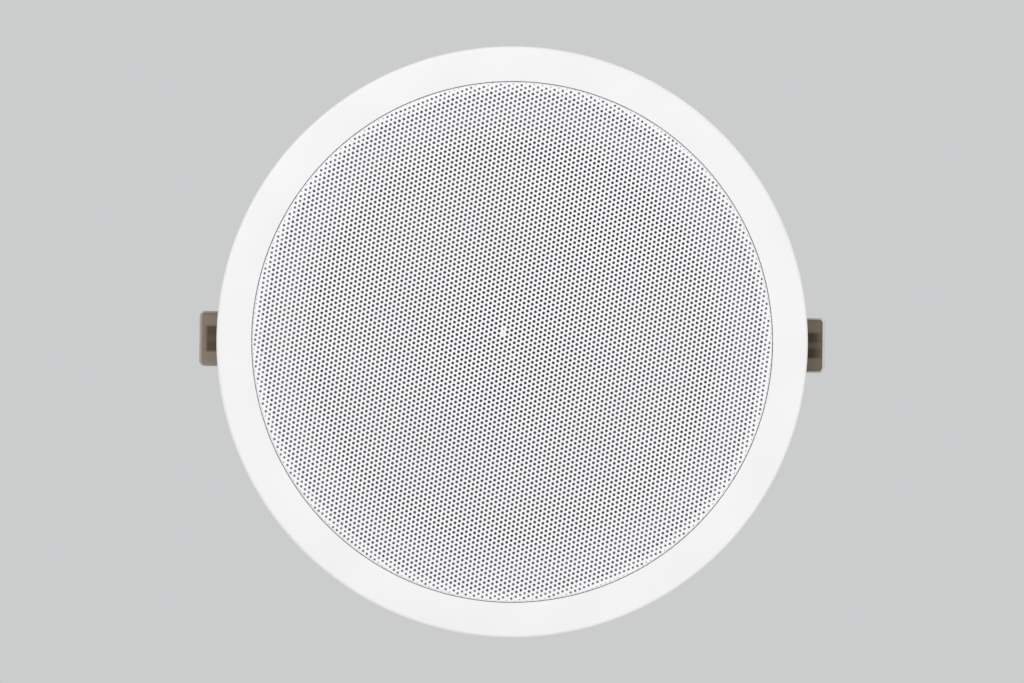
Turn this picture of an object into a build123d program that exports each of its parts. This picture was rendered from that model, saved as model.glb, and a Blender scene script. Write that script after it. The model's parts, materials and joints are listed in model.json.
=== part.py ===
from build123d import *
import math
import os

os.makedirs("parts", exist_ok=True)

# Round ceiling loudspeaker. The grille faces down (-Z) and the magnet stands up in the ceiling void (+Z).
# The origin is the centre of the ring's rear face, which lies against the ceiling. Millimetres.

# Moulded frame: visible ring, collar and baffle
flange_d = 248.0  # outside of the visible ring
flange_thick = 3.0  # ring face to ceiling face
edge_round = 2.4  # soft outer edge of the ring
flange_wide = 12.5  # ring beyond the collar, which enters the hole in the ceiling
collar_tall = 8.0  # above the ceiling face
frame_wall = 2.2  # moulded walls and floors
ledge_wide = 4.0  # seat for the edge of the grille
baffle_wide = 13.3  # shelf that carries the driver
baffle_thick = 2.8
rib_count = 12
rib_wide = 2.0
rib_tall = 3.0  # above the shelf
rib_taper = 4.0  # sloped inner end of each rib

# Grille: a perforated steel disc with its edge folded back
grille_gap = 0.2  # dark line between grille and ring
grille_sheet = 0.8
grille_depth = 4.0  # front face to the end of the folded edge
grille_fold = 1.0  # bevel on the folded edge
hole_pitch = 24.0
hole_across = 12.5  # across the corners of one opening
hole_land = 4.0  # plain sheet between the last openings and the fold
hole_turn = 37.5  # rows of openings, from +X

# Driver basket: one steel pressing
driver_play = 0.6  # round the driver in its well
basket_sheet = 1.2
mouth_play = 0.6  # between the basket and the hole in the shelf
shelf_d = 104.0  # outside of the step that carries the spider
shelf_wide = 9.0
basket_deep = 29.0  # rim to spider step
neck_tall = 9.0  # spider step to the flat end that carries the magnet
seat_hole_d = 40.0
window_count = 12
window_foot = 11.4  # windows from the mouth
window_head = 5.0  # windows from the spider step
spoke_wide = 16.0

# Driver screws
screw_count = 4
screw_inset = 7.3  # screws from the wall of the well
screw_d = 3.0
screw_long = 11.0
screw_head_d = 7.0
screw_head_tall = 2.2
screw_play = 0.2  # round each shank
boss_wall = 2.4
boss_tall = 7.0

# Moving parts of the driver, and the flats that stand for each round
flats = 36
bore_sides = 6  # small screws and holes
coil_d = 26.6  # outside of the winding
coil_wall = 0.3  # one layer of winding
former_wall = 0.4
former_front = 0.8  # in front of the cone's neck
coil_long = 9.0
cone_rise = 0.6  # edge of the cone above the rim's front
cone_deep = 21.8
cone_paper = 0.9
glue_gap = 0.1  # between glued edges
cap_d = 38.0
cap_flat_d = 20.0
cap_deep = 4.4
cap_paper = 0.6
surround_wide = 6.9  # cone to mouth
surround_cloth = 0.6
surround_roll = 3.6  # height of the roll
surround_lip = 2.0  # glued to the basket
spider_cloth = 0.5
spider_wave = 2.0
spider_waves = 2
spider_lip = 6.0

# Magnet system
plate_d = 80.0
plate_thick = 5.0
magnet_d = 90.0
magnet_hole_d = 45.0
magnet_thick = 14.0
coil_play = 0.3  # winding to top plate
pole_play = 0.4  # former to pole

# Connection strip on the basket, and its solder tags
strip_long = 22.0
strip_wide = 6.0
strip_thick = 1.6
strip_inset = 0.4  # from the outer edge of the spider step
tag_spread = 14.0
tag_wide = 4.0
tag_sheet = 0.8
tag_tall = 8.5
tag_hole_d = 1.6

# Screw terminal block on the shelf
block_inset = 0.3  # from the hole in the shelf
pole_spread = 14.6
pole_wide = 8.4
block_deep = 13.0  # along the wires
block_tall = 12.0
block_foot = 5.0  # height of the waist between the poles
insert_side = 4.4  # square brass insert
insert_long = 10.0
insert_bore_d = 3.0
insert_play = 0.1
insert_z = 3.0  # floor of the wire channel, above the shelf
clamp_screw_d = 3.2
clamp_spread = 5.6
clamp_sunk = 1.0  # screw top below the top of the block
fixing_d = 2.6
fixing_head_d = 5.2
fixing_head_tall = 1.6
fixing_bite = 2.0  # into the shelf

# Spring clips: pivot pin, double torsion spring and a soft sleeve on its hairpin
wire_d = 1.8
coil_turns = 2.25  # on each side
coil_steps = 8  # straight steps in a turn
turn_pitch = 2.1
turn_r = 3.9  # pin axis to wire
arm_spread = 7.6  # between the two arms
arm_bend = 2.2  # bevelled corners of the hairpin's end
arm_rest = 0.3  # arms above the collar
pin_d = 4.9
pin_play = 0.05
pivot_inset = 7.5  # pin axis from the outside of the collar
tail_tall = 8.0  # spring ends above the pin axis
ear_thick = 2.4
ear_round = 5.4
ear_play = 0.5  # coil to ear
web_thick = 2.2
tail_play = 0.1
sleeve_reach = 7.9  # beyond the ring
sleeve_gap = 2.0  # from the collar
sleeve_wide = 23.2
sleeve_thick = 5.0
sleeve_corner = 1.5  # bevelled outer corners
sleeve_rim = 1.3
sleeve_dish = 0.5  # shallow dish inside the rim, on both faces
sleeve_tip_wall = 2.2  # beyond the wire
wire_play = 0.15

# Heights and radii worked out from the sizes above
flange_r = flange_d / 2
collar_r = flange_r - flange_wide
recess_r = collar_r - frame_wall
grille_r = recess_r - grille_gap
well_r = recess_r - ledge_wide
driver_r = well_r - driver_play
opening_r = well_r - baffle_wide
front_z = -flange_thick
edge_step = edge_round * (1 - math.sqrt(0.5))  # middle of the edge, worked as two bevels
ledge_z = front_z + grille_depth
shelf_front_z = collar_tall - baffle_thick
groove_out_r = collar_r - frame_wall
groove_in_r = well_r + frame_wall
groove_z = ledge_z + frame_wall
rim_z = shelf_front_z - basket_sheet
mouth_r = opening_r - mouth_play
shelf_z = rim_z + basket_deep
seat_z = shelf_z + neck_tall
spider_step_r = shelf_d / 2
neck_in_r = spider_step_r - shelf_wide
plate_z = seat_z + basket_sheet
magnet_z = plate_z + plate_thick
yoke_z = magnet_z + magnet_thick
coil_r = coil_d / 2
former_r = coil_r - coil_wall
former_in_r = former_r - former_wall
coil_mid_z = plate_z + plate_thick / 2
cone_edge_r = mouth_r - surround_wide
cone_edge_z = rim_z + cone_rise
cone_neck_z = cone_edge_z + cone_deep
neck_r = former_r + glue_gap
screw_place_r = well_r - screw_inset
screw_r = screw_d / 2
screw_hole_r = screw_r + screw_play
strip_z = shelf_z + basket_sheet
strip_r = spider_step_r - strip_inset - strip_wide / 2
block_r = opening_r + block_inset + block_deep / 2
insert_floor_z = collar_tall + insert_z
channel_side = insert_side + 2 * insert_play
wire_r = 1.1 * wire_d / 2  # corner radius of a six-sided wire of the same section
pivot_r = collar_r - pivot_inset
sleeve_start_r = collar_r + sleeve_gap
sleeve_tip_r = flange_r + sleeve_reach
arm_y = arm_spread / 2
arm_z = collar_tall + arm_rest + wire_r
pivot_z = arm_z + turn_r
tail_y = arm_y + coil_turns * turn_pitch
tail_z = pivot_z + tail_tall
ear_in_y = tail_y + wire_r + ear_play
ear_out_y = ear_in_y + ear_thick
pin_slot = pin_d / 2 + pin_play
web_out_r = pivot_r - turn_r - wire_r - tail_play
web_in_r = web_out_r - web_thick
hairpin_r = sleeve_tip_r - sleeve_tip_wall - wire_r

pieces = {}


def section(points):
    """Closed outline in the plane of radius (X) and height (Z)."""
    with BuildSketch(Plane.XZ) as outline:
        with BuildLine():
            Polyline(*points, close=True)
        make_face()
    return outline.sketch


def pressing(front, thick):
    """Outline of a thin pressing: its front line, and the same line moved back by its thickness."""
    back = [(r, z + thick) for r, z in reversed(front)]
    return section([*front, *back])


def radial_plane(angle):
    """Upright plane through the speaker's axis: its x runs outwards at this angle, and its y runs up."""
    turn = math.radians(angle)
    outwards = (math.cos(turn), math.sin(turn), 0)
    return Plane(origin=(0, 0, 0), x_dir=outwards, z_dir=(outwards[1], -outwards[0], 0))


def flat_path(r):
    """Closed path of flats round the speaker's axis, from the middle of one of them."""
    corner_r = r / math.cos(math.pi / flats)
    corners = []
    for n in range(flats):
        turn = math.pi * (2 * n + 1) / flats
        corners.append((corner_r * math.cos(turn), corner_r * math.sin(turn)))
    with BuildLine() as path:
        Polyline((r, 0), *corners, close=True)
    return path.line


def between(low, high, share):
    """The value at this share of the way from low to high."""
    return low + (high - low) * share


def cone_front(r):
    """Height of the cone's front face at a radius."""
    return between(cone_neck_z, cone_edge_z, (r - neck_r) / (cone_edge_r - neck_r))


clip_planes = [radial_plane(0), radial_plane(180)]
rib_step = 360 / rib_count
screw_start = 45.0
block_angle = -90.0

# Frame: one moulding, with the clip towers, ribs and screw bosses on the back of its shelf
with BuildPart() as frame:
    revolve(
        section(
            [
                (flange_r - edge_round, front_z),
                (flange_r - edge_step, front_z + edge_step),
                (flange_r, front_z + edge_round),
                (flange_r, 0),
                (collar_r, 0),
                (collar_r, collar_tall),
                (groove_out_r, collar_tall),
                (groove_out_r, groove_z),
                (groove_in_r, groove_z),
                (groove_in_r, collar_tall),
                (opening_r, collar_tall),
                (opening_r, shelf_front_z),
                (well_r, shelf_front_z),
                (well_r, ledge_z),
                (recess_r, ledge_z),
                (recess_r, front_z),
            ]
        ),
        axis=Axis.Z,
    )
    with BuildSketch(*[radial_plane((n + 0.5) * rib_step) for n in range(rib_count)]):
        with BuildLine():
            Polyline(
                (opening_r + frame_wall, collar_tall - baffle_thick / 2),
                (well_r + frame_wall / 2, collar_tall - baffle_thick / 2),
                (well_r + frame_wall / 2, groove_z - frame_wall / 2),
                (collar_r - frame_wall / 2, groove_z - frame_wall / 2),
                (collar_r - frame_wall / 2, collar_tall + rib_tall),
                (opening_r + frame_wall + rib_taper, collar_tall + rib_tall),
                (opening_r + frame_wall, collar_tall),
                close=True,
            )
        make_face()
    extrude(amount=rib_wide / 2, both=True)
    ear_offsets = [side * (ear_in_y + ear_thick / 2) for side in (1, -1)]
    with BuildSketch(*[plane.offset(offset) for plane in clip_planes for offset in ear_offsets]):
        with BuildLine():
            Polyline(
                (web_in_r, collar_tall - baffle_thick / 2),
                (well_r + frame_wall / 2, collar_tall - baffle_thick / 2),
                (well_r + frame_wall / 2, groove_z - frame_wall / 2),
                (pivot_r + ear_round, groove_z - frame_wall / 2),
                (pivot_r + ear_round, pivot_z),
                (pivot_r + pin_slot, pivot_z + ear_round),
                (web_out_r, pivot_z + ear_round),
                (web_out_r, tail_z),
                (web_in_r, tail_z),
                close=True,
            )
        make_face()
        with Locations((pivot_r, pivot_z - pin_slot)):
            slot_tall = 2 * (ear_round + pin_slot)
            Rectangle(2 * pin_slot, slot_tall, align=(Align.CENTER, Align.MIN), mode=Mode.SUBTRACT)
    extrude(amount=ear_thick / 2, both=True)
    with BuildSketch(*clip_planes):
        with BuildLine():
            Polyline(
                (web_in_r, collar_tall - baffle_thick / 2),
                (web_out_r, collar_tall - baffle_thick / 2),
                (web_out_r, tail_z),
                (web_in_r, tail_z),
                close=True,
            )
        make_face()
    extrude(amount=ear_out_y, both=True)
    with BuildSketch(Plane.XY.offset(collar_tall)):
        with PolarLocations(screw_place_r, screw_count, start_angle=screw_start):
            RegularPolygon(screw_hole_r + boss_wall, bore_sides, major_radius=False)
    extrude(amount=boss_tall)
    with BuildSketch(Plane.XY.offset(shelf_front_z)):
        with PolarLocations(screw_place_r, screw_count, start_angle=screw_start):
            RegularPolygon(screw_hole_r, bore_sides, major_radius=False)
    extrude(amount=baffle_thick + boss_tall, mode=Mode.SUBTRACT)
    with BuildSketch(radial_plane(block_angle)):
        with Locations((block_r, collar_tall - fixing_bite / 2)):
            Rectangle(fixing_d + 2 * screw_play, fixing_bite)
    extrude(amount=fixing_d / 2 + screw_play, both=True, mode=Mode.SUBTRACT)
pieces["frame"] = frame

# Grille: a dished disc, pierced in staggered rows
grille_in_r = grille_r - grille_sheet
pierced_r = grille_r - grille_fold - hole_land - hole_across / 2
row_pitch = hole_pitch * math.sin(math.radians(60))
row_span = math.ceil(pierced_r / row_pitch)
row_turn = math.radians(hole_turn)
lattice = [
    (hole_pitch * (column + (row % 2) / 2), row_pitch * row)
    for row in range(-row_span, row_span + 1)
    for column in range(-row_span - 1, row_span + 2)
]
openings = [
    (x * math.cos(row_turn) - y * math.sin(row_turn), x * math.sin(row_turn) + y * math.cos(row_turn))
    for x, y in lattice
    if math.hypot(x, y) <= pierced_r
]
with BuildPart() as grille:
    revolve(
        section(
            [
                (0, front_z),
                (grille_r - grille_fold, front_z),
                (grille_r, front_z + grille_fold),
                (grille_r, ledge_z),
                (grille_in_r, ledge_z),
                (grille_in_r, front_z + grille_sheet),
                (0, front_z + grille_sheet),
            ]
        ),
        axis=Axis.Z,
    )
    with BuildSketch(Plane.XY.offset(front_z)):
        with Locations(*openings):
            RegularPolygon(hole_across / 2, 6, rotation=hole_turn)
    extrude(amount=grille_sheet, mode=Mode.SUBTRACT)
pieces["grille"] = grille

# Basket: rim, slotted cone, spider step and magnet seat drawn from one sheet
with BuildPart() as basket:
    sweep(
        section(
            [
                (driver_r, rim_z),
                (mouth_r - basket_sheet / 2, rim_z),
                (spider_step_r, shelf_z),
                (neck_in_r, shelf_z),
                (neck_in_r, seat_z),
                (seat_hole_d / 2, seat_z),
                (seat_hole_d / 2, plate_z),
                (neck_in_r + basket_sheet, plate_z),
                (neck_in_r + basket_sheet, strip_z),
                (spider_step_r, strip_z),
                (mouth_r - basket_sheet / 2, shelf_front_z),
                (driver_r, shelf_front_z),
            ]
        ),
        path=flat_path(driver_r),
        transition=Transition.RIGHT,
    )
    window_in_r = spider_step_r + window_head
    window_out_r = mouth_r - window_foot
    window_in_half = math.pi * window_in_r / window_count - spoke_wide / 2
    window_out_half = math.pi * window_out_r / window_count - spoke_wide / 2
    with BuildSketch(Plane.XY.offset(rim_z)):
        with PolarLocations(0, window_count):
            Polygon(
                (window_in_r, -window_in_half),
                (window_out_r, -window_out_half),
                (window_out_r, window_out_half),
                (window_in_r, window_in_half),
                align=None,
            )
    extrude(amount=shelf_z - rim_z, mode=Mode.SUBTRACT)
    with BuildSketch(Plane.XY.offset(rim_z)):
        with PolarLocations(screw_place_r, screw_count, start_angle=screw_start):
            RegularPolygon(screw_hole_r, bore_sides, major_radius=False)
    extrude(amount=basket_sheet, mode=Mode.SUBTRACT)
pieces["basket"] = basket

# Driver screws: pan heads on the basket's rim, shanks in the frame's bosses
with BuildPart() as driver_screws:
    with BuildSketch(Plane.XY.offset(rim_z - screw_head_tall)):
        with PolarLocations(screw_place_r, screw_count, start_angle=screw_start):
            RegularPolygon(screw_head_d / 2, bore_sides, major_radius=False)
    extrude(amount=screw_head_tall)
    with BuildSketch(Plane.XY.offset(rim_z)):
        with PolarLocations(screw_place_r, screw_count, start_angle=screw_start):
            RegularPolygon(screw_r, bore_sides, major_radius=False)
    extrude(amount=screw_long)
pieces["driver_screws"] = driver_screws

# Surround: a cloth roll from the cone's edge to a lip on the basket's rim
surround_in_r = cone_edge_r + glue_gap
surround_z = rim_z - surround_cloth
with BuildPart() as surround:
    sweep(
        pressing(
            [
                (surround_in_r, cone_edge_z),
                (between(surround_in_r, mouth_r, 0.5), surround_z - surround_roll),
                (mouth_r, surround_z),
                (mouth_r + surround_lip, surround_z),
            ],
            surround_cloth,
        ),
        path=flat_path(mouth_r),
        transition=Transition.RIGHT,
    )
pieces["surround"] = surround

# Cone: straight-sided paper, glued to the former at its neck
with BuildPart() as cone:
    sweep(
        pressing([(cone_edge_r, cone_edge_z), (neck_r, cone_neck_z)], cone_paper),
        path=flat_path(cone_edge_r),
        transition=Transition.RIGHT,
    )
pieces["cone"] = cone

# Dust cap: a shallow pressed cap on the front of the cone
cap_r = cap_d / 2
cap_z = cone_front(cap_r) - cap_paper - glue_gap
with BuildPart() as dust_cap:
    sweep(
        pressing([(cap_r, cap_z), (cap_flat_d / 2, cap_z - cap_deep)], cap_paper),
        path=flat_path(cap_r),
        transition=Transition.RIGHT,
    )
    with BuildSketch(Plane.XY.offset(cap_z - cap_deep)):
        RegularPolygon(cap_flat_d / 2, flats, major_radius=False, rotation=180 / flats)
    extrude(amount=cap_paper)
pieces["dust_cap"] = dust_cap

# Voice coil: the former with its winding, centred in the magnet's gap
with BuildPart() as voice_coil:
    sweep(
        section(
            [
                (former_in_r, cone_neck_z - former_front),
                (former_r, cone_neck_z - former_front),
                (former_r, coil_mid_z - coil_long / 2),
                (coil_r, coil_mid_z - coil_long / 2),
                (coil_r, coil_mid_z + coil_long / 2),
                (former_in_r, coil_mid_z + coil_long / 2),
            ]
        ),
        path=flat_path(coil_r),
        transition=Transition.RIGHT,
    )
pieces["voice_coil"] = voice_coil

# Spider: corrugated cloth from the former to the basket's step
spider_z = shelf_z - spider_cloth
spider_line = [(neck_in_r + spider_lip, spider_z)]
for half_wave in range(2 * spider_waves + 1):
    spider_line.append(
        (
            between(neck_in_r, neck_r, half_wave / (2 * spider_waves)),
            spider_z - spider_wave * (half_wave % 2),
        )
    )
with BuildPart() as spider:
    sweep(pressing(spider_line, spider_cloth), path=flat_path(neck_in_r), transition=Transition.RIGHT)
pieces["spider"] = spider

# Magnet system: top plate, ferrite ring, and the yoke with its pole
with BuildPart() as top_plate:
    with BuildSketch(Plane.XY.offset(plate_z)):
        Circle(plate_d / 2)
        Circle(coil_r + coil_play, mode=Mode.SUBTRACT)
    extrude(amount=plate_thick)
pieces["top_plate"] = top_plate

with BuildPart() as magnet:
    with BuildSketch(Plane.XY.offset(magnet_z)):
        Circle(magnet_d / 2)
        Circle(magnet_hole_d / 2, mode=Mode.SUBTRACT)
    extrude(amount=magnet_thick)
pieces["magnet"] = magnet

with BuildPart() as yoke:
    with BuildSketch(Plane.XY.offset(yoke_z)):
        Circle(plate_d / 2)
    extrude(amount=plate_thick)
    with BuildSketch(Plane.XY.offset(plate_z)):
        Circle(former_in_r - pole_play)
    extrude(amount=yoke_z - plate_z)
pieces["yoke"] = yoke

# Connection strip on the back of the spider step, with two upright solder tags
with BuildPart() as tag_strip:
    with BuildSketch(Plane.XY.offset(strip_z)):
        with Locations((0, -strip_r)):
            Rectangle(strip_long, strip_wide)
    extrude(amount=strip_thick)
pieces["tag_strip"] = tag_strip

with BuildPart() as solder_tags:
    with BuildSketch(Plane.XZ.offset(strip_r)):
        with Locations((0, strip_z + strip_thick + tag_tall / 2)):
            with GridLocations(tag_spread, 0, 2, 1):
                Rectangle(tag_wide, tag_tall)
        with Locations((0, strip_z + strip_thick + tag_tall - tag_wide / 2)):
            with GridLocations(tag_spread, 0, 2, 1):
                RegularPolygon(tag_hole_d / 2, bore_sides, major_radius=False, mode=Mode.SUBTRACT)
    extrude(amount=tag_sheet / 2, both=True)
pieces["solder_tags"] = solder_tags

# Terminal block: two poles on a low foot, with brass inserts and clamping screws
block_z = collar_tall + block_tall
channel_top_z = insert_floor_z + channel_side
with BuildPart() as terminal_block:
    with BuildSketch(Plane.XY.offset(collar_tall)):
        with Locations((0, -block_r)):
            Rectangle(pole_spread + pole_wide, block_deep)
    extrude(amount=block_foot)
    with BuildSketch(Plane.XY.offset(collar_tall)):
        with Locations((0, -block_r)):
            with GridLocations(pole_spread, 0, 2, 1):
                Rectangle(pole_wide, block_deep)
    extrude(amount=block_tall)
    with BuildSketch(Plane.XZ.offset(block_r)):
        with Locations((0, insert_floor_z + channel_side / 2)):
            with GridLocations(pole_spread, 0, 2, 1):
                Rectangle(channel_side, channel_side)
    extrude(amount=block_deep / 2, both=True, mode=Mode.SUBTRACT)
    with BuildSketch(Plane.XY.offset(channel_top_z)):
        with Locations((0, -block_r)):
            with GridLocations(pole_spread, clamp_spread, 2, 2):
                RegularPolygon(clamp_screw_d / 2 + screw_play, bore_sides, major_radius=False)
    extrude(amount=block_z - channel_top_z, mode=Mode.SUBTRACT)
    with BuildSketch(Plane.XY.offset(collar_tall)):
        with Locations((0, -block_r)):
            RegularPolygon(fixing_d / 2 + screw_play, bore_sides, major_radius=False)
    extrude(amount=block_foot, mode=Mode.SUBTRACT)
pieces["terminal_block"] = terminal_block

with BuildPart() as terminal_inserts:
    with BuildSketch(Plane.XZ.offset(block_r)):
        with Locations((0, insert_floor_z + insert_play + insert_side / 2)):
            with GridLocations(pole_spread, 0, 2, 1):
                Rectangle(insert_side, insert_side)
                RegularPolygon(insert_bore_d / 2, bore_sides, major_radius=False, mode=Mode.SUBTRACT)
    extrude(amount=insert_long / 2, both=True)
pieces["terminal_inserts"] = terminal_inserts

with BuildPart() as terminal_screws:
    with BuildSketch(Plane.XY.offset(channel_top_z)):
        with Locations((0, -block_r)):
            with GridLocations(pole_spread, clamp_spread, 2, 2):
                RegularPolygon(clamp_screw_d / 2, bore_sides, major_radius=False)
    extrude(amount=block_z - clamp_sunk - channel_top_z)
pieces["terminal_screws"] = terminal_screws

with BuildPart() as block_screw:
    with BuildSketch(Plane.XY.offset(collar_tall - fixing_bite)):
        with Locations((0, -block_r)):
            RegularPolygon(fixing_d / 2, bore_sides, major_radius=False)
    extrude(amount=fixing_bite + block_foot)
    with BuildSketch(Plane.XY.offset(collar_tall + block_foot)):
        with Locations((0, -block_r)):
            RegularPolygon(fixing_head_d / 2, bore_sides, major_radius=False)
    extrude(amount=fixing_head_tall)
pieces["block_screw"] = block_screw


def half_spring(side, half):
    """Route of half of a clip's spring: its upright end, one coil round the pin, and one arm."""
    steps = round(coil_turns * coil_steps)
    route = [(side * (pivot_r - turn_r), half * tail_y, tail_z)]
    for step in range(steps + 1):
        turn = math.pi + 2 * math.pi * step / coil_steps
        route.append(
            (
                side * (pivot_r + turn_r * math.cos(turn)),
                half * between(tail_y, arm_y, step / steps),
                pivot_z + turn_r * math.sin(turn),
            )
        )
    route.append((side * (hairpin_r - arm_bend), half * arm_y, arm_z))
    route.append((side * hairpin_r, half * (arm_y - arm_bend), arm_z))
    return route


# Spring clips, one on each side
for clip_side, clip_name in ((1, "right"), (-1, "left")):
    with BuildPart() as clip_pin:
        with BuildSketch(Plane.XZ.offset(-ear_out_y)):
            with Locations((clip_side * pivot_r, pivot_z)):
                Circle(pin_d / 2)
        extrude(amount=2 * ear_out_y)
    pieces[f"clip_pin_{clip_name}"] = clip_pin

    with BuildPart() as clip_spring:
        with BuildLine() as wire_route:
            Polyline(*half_spring(clip_side, 1), *reversed(half_spring(clip_side, -1)))
        with BuildSketch(Plane(origin=wire_route.line @ 0, z_dir=wire_route.line % 0)):
            RegularPolygon(wire_r, 6)
        sweep(path=wire_route.line, transition=Transition.RIGHT)
    pieces[f"clip_spring_{clip_name}"] = clip_spring

    with BuildPart() as clip_sleeve:
        sleeve_long = sleeve_tip_r - sleeve_start_r
        sleeve_mid = clip_side * (sleeve_start_r + sleeve_long / 2)
        with BuildSketch(Plane.XY.offset(arm_z)) as sleeve_outline:
            with Locations((sleeve_mid, 0)):
                Rectangle(sleeve_long, sleeve_wide)
            chamfer(sleeve_outline.vertices(), sleeve_corner)
        extrude(amount=sleeve_thick / 2, both=True)
        dish_z = (sleeve_thick - sleeve_dish) / 2
        with BuildSketch(*[Plane.XY.offset(arm_z + face * dish_z) for face in (1, -1)]):
            with Locations((sleeve_mid, 0)):
                Rectangle(sleeve_long - 2 * sleeve_rim, sleeve_wide - 2 * sleeve_rim)
        extrude(amount=sleeve_dish / 2, both=True, mode=Mode.SUBTRACT)
        slot_end = hairpin_r + wire_r + wire_play
        with BuildSketch(Plane.XY.offset(arm_z)):
            with Locations((clip_side * between(sleeve_start_r, slot_end, 0.5), 0)):
                Rectangle(slot_end - sleeve_start_r, arm_spread + 2 * (wire_r + wire_play))
        extrude(amount=wire_r + wire_play, both=True, mode=Mode.SUBTRACT)
    pieces[f"clip_sleeve_{clip_name}"] = clip_sleeve

for name, piece in pieces.items():
    piece.part.label = name
    export_step(piece.part, f"parts/{name}.step")
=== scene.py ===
import json
import math
from functools import partial

import bmesh
import bpy
import numpy as np
from bpy.props import FloatProperty, FloatVectorProperty, IntProperty, PointerProperty
from mathutils import Matrix, Vector


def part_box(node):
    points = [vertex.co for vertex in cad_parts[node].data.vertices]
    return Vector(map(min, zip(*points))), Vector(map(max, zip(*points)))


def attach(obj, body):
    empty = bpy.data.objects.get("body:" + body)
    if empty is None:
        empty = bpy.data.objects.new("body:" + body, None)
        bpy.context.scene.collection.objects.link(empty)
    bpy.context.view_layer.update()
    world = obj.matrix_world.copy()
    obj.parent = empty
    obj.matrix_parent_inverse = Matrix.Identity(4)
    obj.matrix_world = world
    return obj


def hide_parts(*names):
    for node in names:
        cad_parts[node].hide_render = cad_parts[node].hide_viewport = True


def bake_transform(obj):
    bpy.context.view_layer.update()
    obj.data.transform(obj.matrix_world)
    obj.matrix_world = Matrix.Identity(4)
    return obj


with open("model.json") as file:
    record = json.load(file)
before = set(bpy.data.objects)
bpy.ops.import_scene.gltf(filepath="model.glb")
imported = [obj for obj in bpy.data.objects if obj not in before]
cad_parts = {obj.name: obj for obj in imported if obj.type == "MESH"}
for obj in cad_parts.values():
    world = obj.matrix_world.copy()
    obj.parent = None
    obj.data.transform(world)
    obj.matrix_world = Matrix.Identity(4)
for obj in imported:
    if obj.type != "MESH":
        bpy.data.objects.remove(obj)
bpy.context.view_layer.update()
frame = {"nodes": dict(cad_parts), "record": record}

bl_info = {
    "name": "Ceiling speaker",
    "version": (1, 0, 0),
    "blender": (4, 5, 0),
    "location": "View3D > Sidebar > Speaker",
    "description": "Finished pieces, finishes and studio for a round ceiling speaker",
    "category": "Object",
}

MM = 0.001
PHOTO_WIDE = 1024
RING_PIXELS = 592

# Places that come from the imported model, in metres
FRAME_LOW, FRAME_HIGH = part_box("frame")
GRILLE_LOW, GRILLE_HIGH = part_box("grille")
BASKET_LOW, BASKET_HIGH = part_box("basket")
CONE_LOW, CONE_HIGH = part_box("cone")
CAP_LOW, CAP_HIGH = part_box("dust_cap")
SURROUND_LOW, SURROUND_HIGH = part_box("surround")
SPIDER_LOW, SPIDER_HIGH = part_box("spider")
COIL_LOW, COIL_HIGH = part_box("voice_coil")
PLATE_LOW, PLATE_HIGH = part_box("top_plate")
MAGNET_LOW, MAGNET_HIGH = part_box("magnet")
YOKE_LOW, YOKE_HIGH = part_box("yoke")
SLEEVE_LOW, SLEEVE_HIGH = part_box("clip_sleeve_right")
PIN_LOW, PIN_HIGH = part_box("clip_pin_right")
PIVOT = (PIN_LOW + PIN_HIGH) / 2
RING_R = FRAME_HIGH.x
FRONT_Z = FRAME_LOW.z
COLLAR = next(m["dims"] for m in frame["record"]["mounts"] if m["name"] == "cutout_collar")

# Staggered rows of holes stand this share of a pitch apart
ROW_SHARE = math.sin(math.radians(60))

# Holes that paint has run into: their place on the sheet, and the width that is left
PAINTED_HOLES = (
    ((-3.6 * MM, -5.2 * MM, 0.0), 0.72 * MM),
    ((-3.6 * MM, -3.1 * MM, 0.0), 0.48 * MM),
    ((0.1 * MM, 6.5 * MM, 0.0), 1.02 * MM),
)


class RingSizes(bpy.types.PropertyGroup):
    """Sizes of the moulded ring and what stands on its back."""

    edge: FloatProperty(
        name="Edge", description="Rounding of the outer edge", default=2.4 * MM, unit="LENGTH"
    )
    corner: FloatProperty(
        name="Corner", description="Rounding of the moulded corners", default=0.35 * MM, unit="LENGTH"
    )
    collar: FloatProperty(
        name="Collar", description="Radius of the collar", default=COLLAR["r_mm"] * MM, unit="LENGTH"
    )
    wall: FloatProperty(
        name="Wall", description="Thickness of the moulded walls", default=2.2 * MM, unit="LENGTH"
    )
    screw_circle: FloatProperty(
        name="Screw circle", description="Axis to each driver screw", default=98 * MM, unit="LENGTH"
    )
    screw_count: IntProperty(name="Screws", description="Driver screws, each in its own boss", default=4)
    rib_count: IntProperty(name="Ribs", description="Ribs on the back of the shelf", default=12)


class GrilleSizes(bpy.types.PropertyGroup):
    """Sizes of the perforated sheet."""

    pitch: FloatProperty(
        name="Pitch", description="Hole to hole along a row", default=2.005 * MM, unit="LENGTH"
    )
    hole: FloatProperty(name="Hole", description="Width of a hole", default=1.26 * MM, unit="LENGTH")
    border: FloatProperty(
        name="Border", description="Edge of the flat, with smaller holes", default=2.9 * MM, unit="LENGTH"
    )
    first: FloatVectorProperty(
        name="First hole", description="Place of the middle hole", size=3, unit="LENGTH",
        default=(0.896 * MM, 0.329 * MM, 0.0),
    )
    turn: FloatProperty(
        name="Rows", description="Direction of the rows", default=math.radians(37.45), subtype="ANGLE"
    )
    sheet: FloatProperty(name="Sheet", description="Thickness", default=0.8 * MM, unit="LENGTH")
    roll: FloatProperty(
        name="Roll", description="Radius of the rolled edge", default=1.1 * MM, unit="LENGTH"
    )
    sides: IntProperty(name="Sides", description="Sides of one hole", default=8)


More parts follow.
